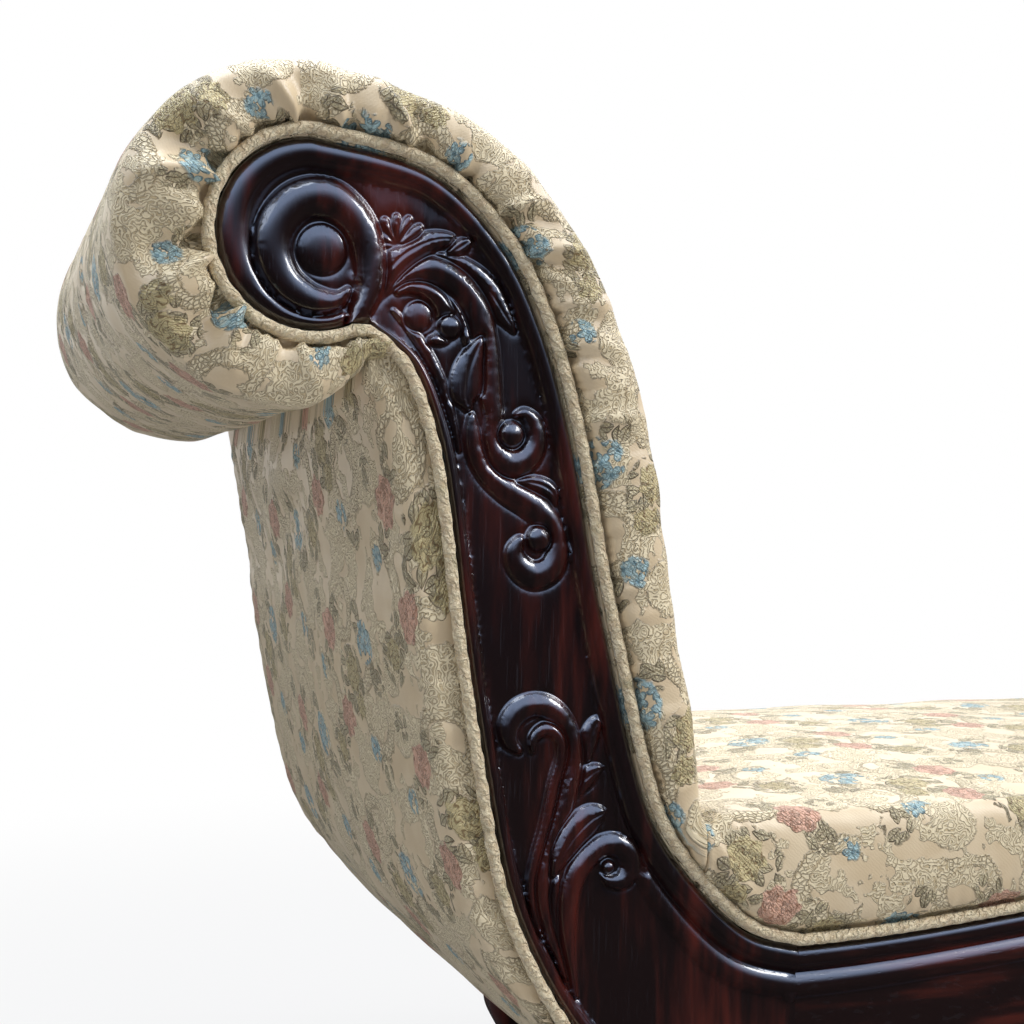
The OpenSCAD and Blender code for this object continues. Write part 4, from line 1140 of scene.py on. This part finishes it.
def panelCushion(key, seed):
    end = ends[key]
    curve = outerCurve(end, upholstery["fine"])[1:]
    base, tops = evenStations(curve + sides(curve) * couch["bed"],
                              smoothPath(placed(end, end["panel"]), upholstery["fine"]),
                              upholstery["step"] * 1.3)
    plane, y, up, cloth, _ = paddedForm(
        base, tops, upholstery["panelEdge"], upholstery["panelBack"])
    points = inRoom(end, plane, y)
    run, fromSeam = along(base)[:, None], couch["yOut"] - np.abs(y)
    push = 0.8 * np.exp(-np.abs(fromSeam - 8) / 15) * smooth(up / 7) * waves(run, seed, 16)
    push += 0.9 * np.exp(-fromSeam / 40) * smooth(up / 10) * waves(
        run + fromSeam * 0.4, seed + 3, 34)
    push += 1.5 * smooth(fromSeam / 60) * waves(run, seed + 1, 130) * waves(y, seed + 2, 240)
    push *= smooth(np.minimum(run, run[-1] - run) / 20)
    points = points - shellNormals(points) * (end["sign"] * push)[..., None]
    uv = np.stack([cloth, np.broadcast_to(-along(tops)[:, None], cloth.shape)], -1)
    closedForm(f"{key}_outer_panel", points, uv, endCloth,
               [f"{key}_panel", f"{key}_panel_pad"], end["sign"] > 0)


panelCushion("head", 51)
panelCushion("foot", 61)
print("outer panels made")


def seatShape():
    # x along the seat between the end cushions, and the level of the rail or facing below
    reach = {}
    for key, end in ends.items():
        base, tops = coverLines(end)
        reach[key] = min(base[0][0], tops[0][0]) - couch["gap"]
    start, stop = couch["headX"] - reach["head"], couch["footX"] + reach["foot"]
    x = np.linspace(start, stop, int((stop - start) / upholstery["step"]))
    level = couch["railTop"] + archAt(np.clip(x, couch["headX"], couch["footX"]))
    for end in ends.values():
        u = (x - end["x"]) * end["sign"]
        curve = innerCurve(end, 8)[:40]
        level = np.where(u > 0, couch["railTop"] + np.interp(u, curve[:, 0], curve[:, 1]), level)
    return x, level + couch["bed"]


def seatCushion():
    x, level = seatShape()
    base = np.stack([x, level], 1)
    tops = np.stack([x, np.full_like(x, couch["railTop"] + couch["seatRise"])], 1)
    edge = np.minimum(x - x[0], x[-1] - x)
    crowns = np.maximum(couch["gap"], couch["seatCrown"] * smooth(edge / couch["crownRun"]))
    # the ends round down where the seat meets the end cushions
    tops[:, 1] -= upholstery["seatRound"] * (1 - smooth(edge / 24)) ** 1.5
    plane, y, up, cloth, _ = paddedForm(
        base, tops, upholstery["seatEdge"], upholstery["seatEdge"], crowns)
    points = np.stack([plane[..., 0], y, plane[..., 1]], -1)
    place, edge = x[:, None], edge[:, None]
    push = 0.9 * np.exp(-up / 18) * smooth(up / 5) * waves(place, 71, 13)
    push += 0.9 * smooth(up / 20) * waves(place, 72, 170) * waves(y, 73, 260)
    # the cloth is pulled into the corners, so small folds run out of them
    onSide = smooth(1 - (couch["yOut"] - np.abs(y)) / 60)
    push += 2.0 * np.exp(-edge / 34) * onSide * smooth(up / 16) * waves(up + edge * 0.5, 74, 26)
    push *= smooth(edge / 12)
    points = points - shellNormals(points) * push[..., None]
    uv = np.stack([np.broadcast_to(place, cloth.shape), cloth], -1)
    closedForm("seat_cushion", points, uv, seatCloth,
               ["seat_cover", "seat_pad", "seat_edge_rolls"], True)


seatCushion()
print("seat made")

# welts: one covered cord a side, in the seam between wood and cloth
welt = {"radius": 4.5, "sides": 12, "step": 2.6, "pucker": 0.45}


def resample(path, step):
    run = along(path)
    at = np.linspace(0, run[-1], max(4, int(run[-1] / step)))
    return np.stack([np.interp(at, run, path[:, k]) for k in range(path.shape[1])], 1)


def sweep(path, radii, count, lift):
    d = np.gradient(path, axis=0)
    d /= np.linalg.norm(d, axis=1)[:, None]
    b = np.cross(d, lift)
    b /= np.linalg.norm(b, axis=1)[:, None]
    n = np.cross(b, d)
    a = np.arange(count) * 2 * math.pi / count
    ring = np.cos(a)[None, :, None] * b[:, None] - np.sin(a)[None, :, None] * n[:, None]
    return path[:, None] + ring * np.broadcast_to(radii, (len(path), count))[..., None]


def weltPath(sign):
    n = 12
    y = sign * (couch["yOut"] + couch["gap"])
    head, foot = (inRoom(end, np.vstack([innerCurve(end, n), outerCurve(end, n)]), y)
                  for end in ends.values())
    x = np.linspace(couch["headX"], couch["footX"], 200)[1:-1]
    seam = np.stack([x, np.full_like(x, y), couch["railTop"] + archAt(x)], 1)
    path = resample(np.concatenate([head[::-1], seam, foot]), welt["step"])
    path[:, [0, 2]] += sides(path[:, [0, 2]]) * (couch["weltRadius"] + couch["bed"])
    return resample(path, welt["step"])


for side, sign in (("front", -1), ("back", 1)):
    path = weltPath(sign)
    run = along(path)[:, None]
    turn = np.arange(welt["sides"])[None] * 2 * math.pi / welt["sides"]
    radii = welt["radius"] + welt["pucker"] * (
        0.35 * np.sin(run / 2.6 + turn + waves(run, 81, 40)) + 0.6 * waves(run, 80, 15) - 0.35)
    rings = sweep(path, radii, welt["sides"], (0, 1, 0))
    uv = np.stack([np.broadcast_to(turn * welt["radius"], radii.shape),
                   np.broadcast_to(run, radii.shape)], -1)
    newPiece(f"{side}_welt_cord", rings.reshape(-1, 3), tubeFaces(len(path), welt["sides"]),
             weltCloth, [f"{side}_welt"], uv=uv.reshape(-1, 2))
print("welts sewn")

# legs
leg = {
    "width": 80, "block": 34, "glide": 5, "y": 242, "sides": 48, "chamfer": 1.5,
    "u": {"head": 20.1, "foot": 63.0},
    # height below the block, lean towards the corner, width, as in the part's source
    "shares": [
        [0, 0.10, 0.50], [0.07, 0.11, 0.60], [0.16, 0.04, 0.48], [0.30, -0.04, 0.42],
        [0.46, -0.03, 0.50], [0.62, 0.04, 0.68], [0.78, 0.10, 0.90], [0.90, 0.07, 0.98],
        [1, 0, 1]],
}


def carvedLeg(key, side):
    end, sign = ends[key], -1 if side == "front" else 1
    # rows of the leg from its foot up: z, lean, width, squareness, share of the shaft's height
    low, top = couch["railBase"] - leg["block"], couch["railBase"]
    rows = [[lerp(leg["glide"], low, h), lean, width * leg["width"], 0.55, h]
            for h, lean, width in smoothPath(leg["shares"], 12)]
    rows += [[z, 0, leg["width"] - narrower, 0.10, 2] for z, narrower in (
        (low, 2), (low + leg["chamfer"], 0), (top - leg["chamfer"], 0), (top - 0.2, 2))]
    a = (np.arange(leg["sides"]) + 0.5) * 2 * math.pi / leg["sides"]
    fromCorner = (a - 7 * math.pi / 4 + math.pi) % (2 * math.pi) - math.pi
    rings = []
    for z, lean, width, square, h in rows:
        r = (np.abs(np.cos(a)) ** (2 / square) + np.abs(np.sin(a)) ** (2 / square)) ** (
            -square / 2) * width / 2
        # a leaf of flutes on the knee, a scroll line over the toe
        knee = float(smooth((h - 0.50) / 0.14) * (1 - smooth((h - 0.90) / 0.08)))
        flutes = np.cos(fromCorner * (9.5 - 4 * h)) * np.exp(-(fromCorner / 0.95) ** 4)
        r = r + 1.7 * knee * flutes - 1.2 * knee * np.exp(-(fromCorner / 0.05) ** 2)
        r = r - 1.2 * np.exp(-((h - 0.125) / 0.012) ** 2)
        shift = lean * leg["width"] / math.sqrt(2)
        u = leg["u"][key] + shift + r * np.cos(a)
        y = -leg["y"] - shift + r * np.sin(a)
        rings.append(np.stack([end["x"] + end["sign"] * u, y * -sign, np.full_like(u, z)], 1))
    faces = tubeFaces(len(rows), leg["sides"])
    if end["sign"] == sign:
        faces = turned(faces)
    newPiece(f"carved_leg_{key}_{side}", np.vstack(rings), faces, uprightWood,
             [f"leg_{key}_{side}"], sharp=48)


for key in ends:
    for side in ("front", "back"):
        carvedLeg(key, side)
print("legs carved")

# springs, webbing and the cloths under the seat
inside = {
    "springSize": 84, "wire": 3.6, "turns": 4, "columns": 5, "rows": 3, "waist": 0.3,
    "webbingTop": 215.5, "springTop": 375.3, "strap": 56, "strapThick": 2.5, "strip": 213,
    "burlapThick": 1.5, "dustLevel": 209.2, "dustThick": 1.0, "dustCut": 60.3,
    "endRail": {"head": 50.1, "foot": 93.0}, "frameInset": 3,
}
rowPitch = (couch["yRib"] - inside["strap"]) * 2 / 3
springX = [lerp(couch["headX"], couch["footX"], (i + 0.5) / inside["columns"])
           for i in range(inside["columns"])]
points, faces = [], []
t = np.linspace(0, 1, 24 * inside["turns"] + 1)
r = inside["wire"] / 2
waist = (inside["springSize"] / 2 - r) * (1 - inside["waist"] * np.sin(math.pi * t))
turnAt = 2 * math.pi * inside["turns"] * t
coil = np.stack([waist * np.cos(turnAt), waist * np.sin(turnAt),
                 lerp(inside["webbingTop"] + r, inside["springTop"] - r, smooth(t))], 1)
for x in springX:
    for j in range(inside["rows"]):
        path = coil + (x, (j - 1) * rowPitch, 0)
        faces += tubeFaces(len(path), 10, sum(len(p) for p in points))
        points.append(sweep(path, r, 10, (0, 0, 1)).reshape(-1, 3))
newPiece("coil_springs", np.vstack(points), faces, steelMetal, ["seat_springs"])


def slabs(name, pieces, stands, material=juteCloth):
    # each piece is a pair of point grids, its upper and its lower face
    points, faces = [], []
    for upper, lower in pieces:
        rows, columns = upper.shape[:2]
        first, size = sum(len(p) for p in points), rows * columns
        points += [upper.reshape(-1, 3), lower.reshape(-1, 3)]
        faces += turned(gridFaces(rows, columns, first=first))
        faces += gridFaces(rows, columns, first=first + size)
        rim = list(range(columns)) + [i * columns + columns - 1 for i in range(1, rows)]
        rim += [(rows - 1) * columns + j for j in range(columns - 2, -1, -1)]
        rim += [i * columns for i in range(rows - 2, 0, -1)]
        faces += [[first + b, first + size + b, first + size + a, first + a]
                  for a, b in zip(rim, rim[1:] + rim[:1])]
    return newPiece(name, np.vstack(points), faces, material, stands, sharp=50)


def flatSlab(x, y, top, thick):
    # x and top are grids like y; the slab hangs its thickness below
    upper = np.stack([x, y, top], -1)
    return upper, upper - (0, 0, thick)


def overGrid(x0, x1, y0, y1, columns, rows):
    return np.meshgrid(np.linspace(x0, x1, columns), np.linspace(y0, y1, rows), indexing="ij")


def strap(x0, x1, y0, y1, level, lengthwise):
    # a strap's edges lie a little lower than its middle
    if lengthwise:
        x, y = overGrid(x0, x1, y0, y1, 90, 7)
        share = (y - y0) / (y1 - y0)
    else:
        x, y = overGrid(x0, x1, y0, y1, 7, 60)
        share = (x - x0) / (x1 - x0)
    rib = -0.5 * np.abs(2 * share - 1) ** 6
    return flatSlab(x, y, level + rib, inside["strapThick"] - 0.5)


railX = [couch["headX"] - inside["endRail"]["head"], couch["footX"] + inside["endRail"]["foot"]]
half, edge = inside["strap"] / 2, couch["yRib"] - 0.1
straps = [strap(railX[0] + 0.2, railX[1] - 0.2, y - half, y + half, inside["webbingTop"], True)
          for y in rowPitch / 2 * np.arange(-2, 3)]
slabs("long_webbing", straps, ["seat_webbing_long"])
straps = [strap(x - half, x + half, -edge, edge, inside["strip"], False) for x in springX]
slabs("cross_webbing", straps, ["seat_webbing_cross"])

# burlap over the springs, dipping between them
reach = couch["yRib"] - couch["gap"]
seatX, _ = seatShape()
x, y = overGrid(seatX[0], seatX[-1], -reach, reach, 150, 60)
dip = np.cos((x - springX[0]) / (springX[1] - springX[0]) * 2 * math.pi)
dip += np.cos(y / rowPitch * 2 * math.pi)
burlap = slabs("burlap", [flatSlab(x, y, inside["springTop"] + 1.5 + (dip - 2) * 0.5,
                                   inside["burlapThick"] - 0.1)], ["seat_burlap"])
burlapSize = ((seatX[-1] - seatX[0]) * millimetre, 2 * reach * millimetre)

# dust cover under the seat: it sags a little and is cut off at its corners
x0, x1 = railX[0] + couch["gap"], railX[1] - couch["gap"]
x, y = overGrid(x0, x1, -1, 1, 180, 60)
narrowed = reach - np.clip(inside["dustCut"] - np.minimum(x - x0, x1 - x), 0, None)
sag = 3.4 * (1 - (2 * (x - x0) / (x1 - x0) - 1) ** 2) ** 0.6 * (1 - y ** 2)
ripple = 0.35 * waves(x, 91, 60) * (1 - y ** 2)
level = inside["dustLevel"] + inside["dustThick"] - sag - np.abs(ripple)
dust = slabs("sagging_dust_cover", [flatSlab(x, y * narrowed, level, inside["dustThick"])],
             ["dust_cover"], cambricCloth)
dustSize = ((x1 - x0) * millimetre, 2 * reach * millimetre)
dustSize[0] * dustSize[1] - 2 * (inside["dustCut"] * millimetre) ** 2


def bentSlab(end, path):
    # band on the frames' edge along a stretch of their outline, over the couch's depth
    normal = sides(path)
    y = np.linspace(-couch["yIn"], couch["yIn"], 13)
    faces = []
    for drop in (0.5, inside["frameInset"]):
        line = inRoom(end, path - normal * drop, 0)
        grid = np.repeat(line[:, None], len(y), 1)
        grid[..., 1] = y[None]
        faces.append(grid if end["sign"] > 0 else grid[:, ::-1])
    return faces


for key, end in ends.items():
    curve = innerCurve(end, 4)
    count = max(1, round(inside["strap"] * (len(curve) - 1) / along(curve)[-1]))
    first, step = 9, count + math.ceil(count / 3)
    bands = [bentSlab(end, curve[i:i + count + 1])
             for i in range(first, len(curve) - 1 - count, step)]
    slabs(f"{key}_end_webbing", bands, [f"{key}_webbing"])
    slabs(f"{key}_stiff_backing", [bentSlab(end, outerCurve(end, 4)[1:])],
          [f"{key}_panel_backing"])
print("inside made")

# materials of the frame's own nodes
finishes = [
    (frameWood, ("head_frame_", "foot_frame_", "head_end_rail", "foot_end_rail", "head_crest",
                 "foot_crest", "head_slats", "foot_slats", "seat_braces", "corner_blocks",
                 "tacking", "rail_dowels")),
    (steelMetal, ("leg_bolts", "foot_glides", "facing_screws", "dust_cover_tacks")),
]
for node in [o for o in scene.objects if o.type == "MESH"]:
    for material, starts in finishes:
        if node.name.startswith(starts):
            node.data.materials.clear()
            node.data.materials.append(material)
print("frame finished")

# room: pale floor, white all round for the camera, soft light from above and the right
room = {
    "floor": 14.0, "white": (1, 1, 1, 1), "floorTint": (0.55, 0.55, 0.56, 1),
    "floorInGloss": (0.03, 0.028, 0.03, 1),
    # light from below and above, in dull and in glossy reflection
    "softLow": (0.19, 0.175, 0.155, 1), "softHigh": (0.84, 0.85, 0.88, 1),
    "glossLow": (0.012, 0.011, 0.014, 1), "glossHigh": (1.6, 2.1, 3.2, 1),
}
world = bpy.data.worlds.new("room")
world.use_nodes = True
scene.world = world
w = Wiring(world.node_tree)
rays = w.node("ShaderNodeLightPath")
glossy, seen = w.of(rays, "Is Glossy Ray"), w.of(rays, "Is Camera Ray")
towardX, towardY, towardZ = w.split(w.place("Generated"))
soft = w.blend(w.ramp(towardZ, -0.1, 0.9), room["softLow"], room["softHigh"])
soft = soft * w.ramp(towardX, -0.8, 0.9, 0.56, 1.15)
gloss = w.blend(w.ramp(towardZ, 0.09, 0.56), room["glossLow"], room["glossHigh"])
dome = w.blend(glossy, soft, gloss)
white = together([seen, w.of(rays, "Is Transmission Ray"),
                  glossy * w.ramp(towardY, 0.30, 0.80)])
w.feed(world.node_tree.nodes["Background"].inputs["Color"],
       w.blend(white, dome, room["white"]))

half = room["floor"] / 2
floorMesh = bpy.data.meshes.new("floor")
floorMesh.from_pydata([(-half, -half, 0), (half, -half, 0), (half, half, 0), (-half, half, 0)],
                      [], [[0, 1, 2, 3]])
floor = bpy.data.objects.new("floor", floorMesh)
scene.collection.objects.link(floor)
floorPaint = bpy.data.materials.new("pale floor")
floorPaint.use_nodes = True
w = Wiring(floorPaint.node_tree)
floorPaint.node_tree.nodes.remove(floorPaint.node_tree.nodes["Principled BSDF"])
rays = w.node("ShaderNodeLightPath")
dull = w.node("ShaderNodeBsdfDiffuse", {"Color": w.blend(
    w.of(rays, "Is Glossy Ray"), room["floorTint"], room["floorInGloss"])})
glow = w.node("ShaderNodeEmission", {"Color": room["white"], "Strength": 1.0})
away = w.vector("LENGTH", w.place())
mixed = w.node("ShaderNodeMixShader", {
    "Fac": w.of(rays, "Is Camera Ray") * w.ramp(away, 0.9, 2.6, 0.72, 1.0),
    1: w.of(dull), 2: w.of(glow)})
w.feed(floorPaint.node_tree.nodes["Material Output"].inputs[0], w.of(mixed))
floorMesh.materials.append(floorPaint)


def softLamp(name, place, aim, size, power, tint=(1, 1, 1)):
    lamp = bpy.data.lights.new(name, "AREA")
    lamp.shape = "RECTANGLE"
    lamp.size, lamp.size_y = size
    lamp.energy = power
    lamp.color = tint
    holder = bpy.data.objects.new(name, lamp)
    holder.location = place
    holder.rotation_euler = (Vector(aim) - Vector(place)).to_track_quat("-Z", "Y").to_euler()
    scene.collection.objects.link(holder)


softLamp("window right", (2.2, -1.7, 2.8), (-0.2, 0, 0.5), (1.3, 1.3), 88, (1.0, 0.985, 0.96))
softLamp("ceiling panel", (-0.6, 0.5, 2.6), (-0.3, 0, 0.7), (1.8, 1.4), 24, (0.93, 0.97, 1.0))
softLamp("over the roll", (-1.0, -0.3, 2.1), (-0.75, 0, 0.8), (0.9, 0.8), 11, (0.88, 0.94, 1.0))
softLamp("window left", (-2.7, -1.0, 2.3), (-0.5, 0, 0.6), (1.2, 1.2), 9, (0.94, 0.97, 1.0))
softLamp("back fill", (0.6, 2.8, 1.8), (0, 0, 0.5), (2.2, 1.4), 18)
print("room lit")

bpy.context.view_layer.update()
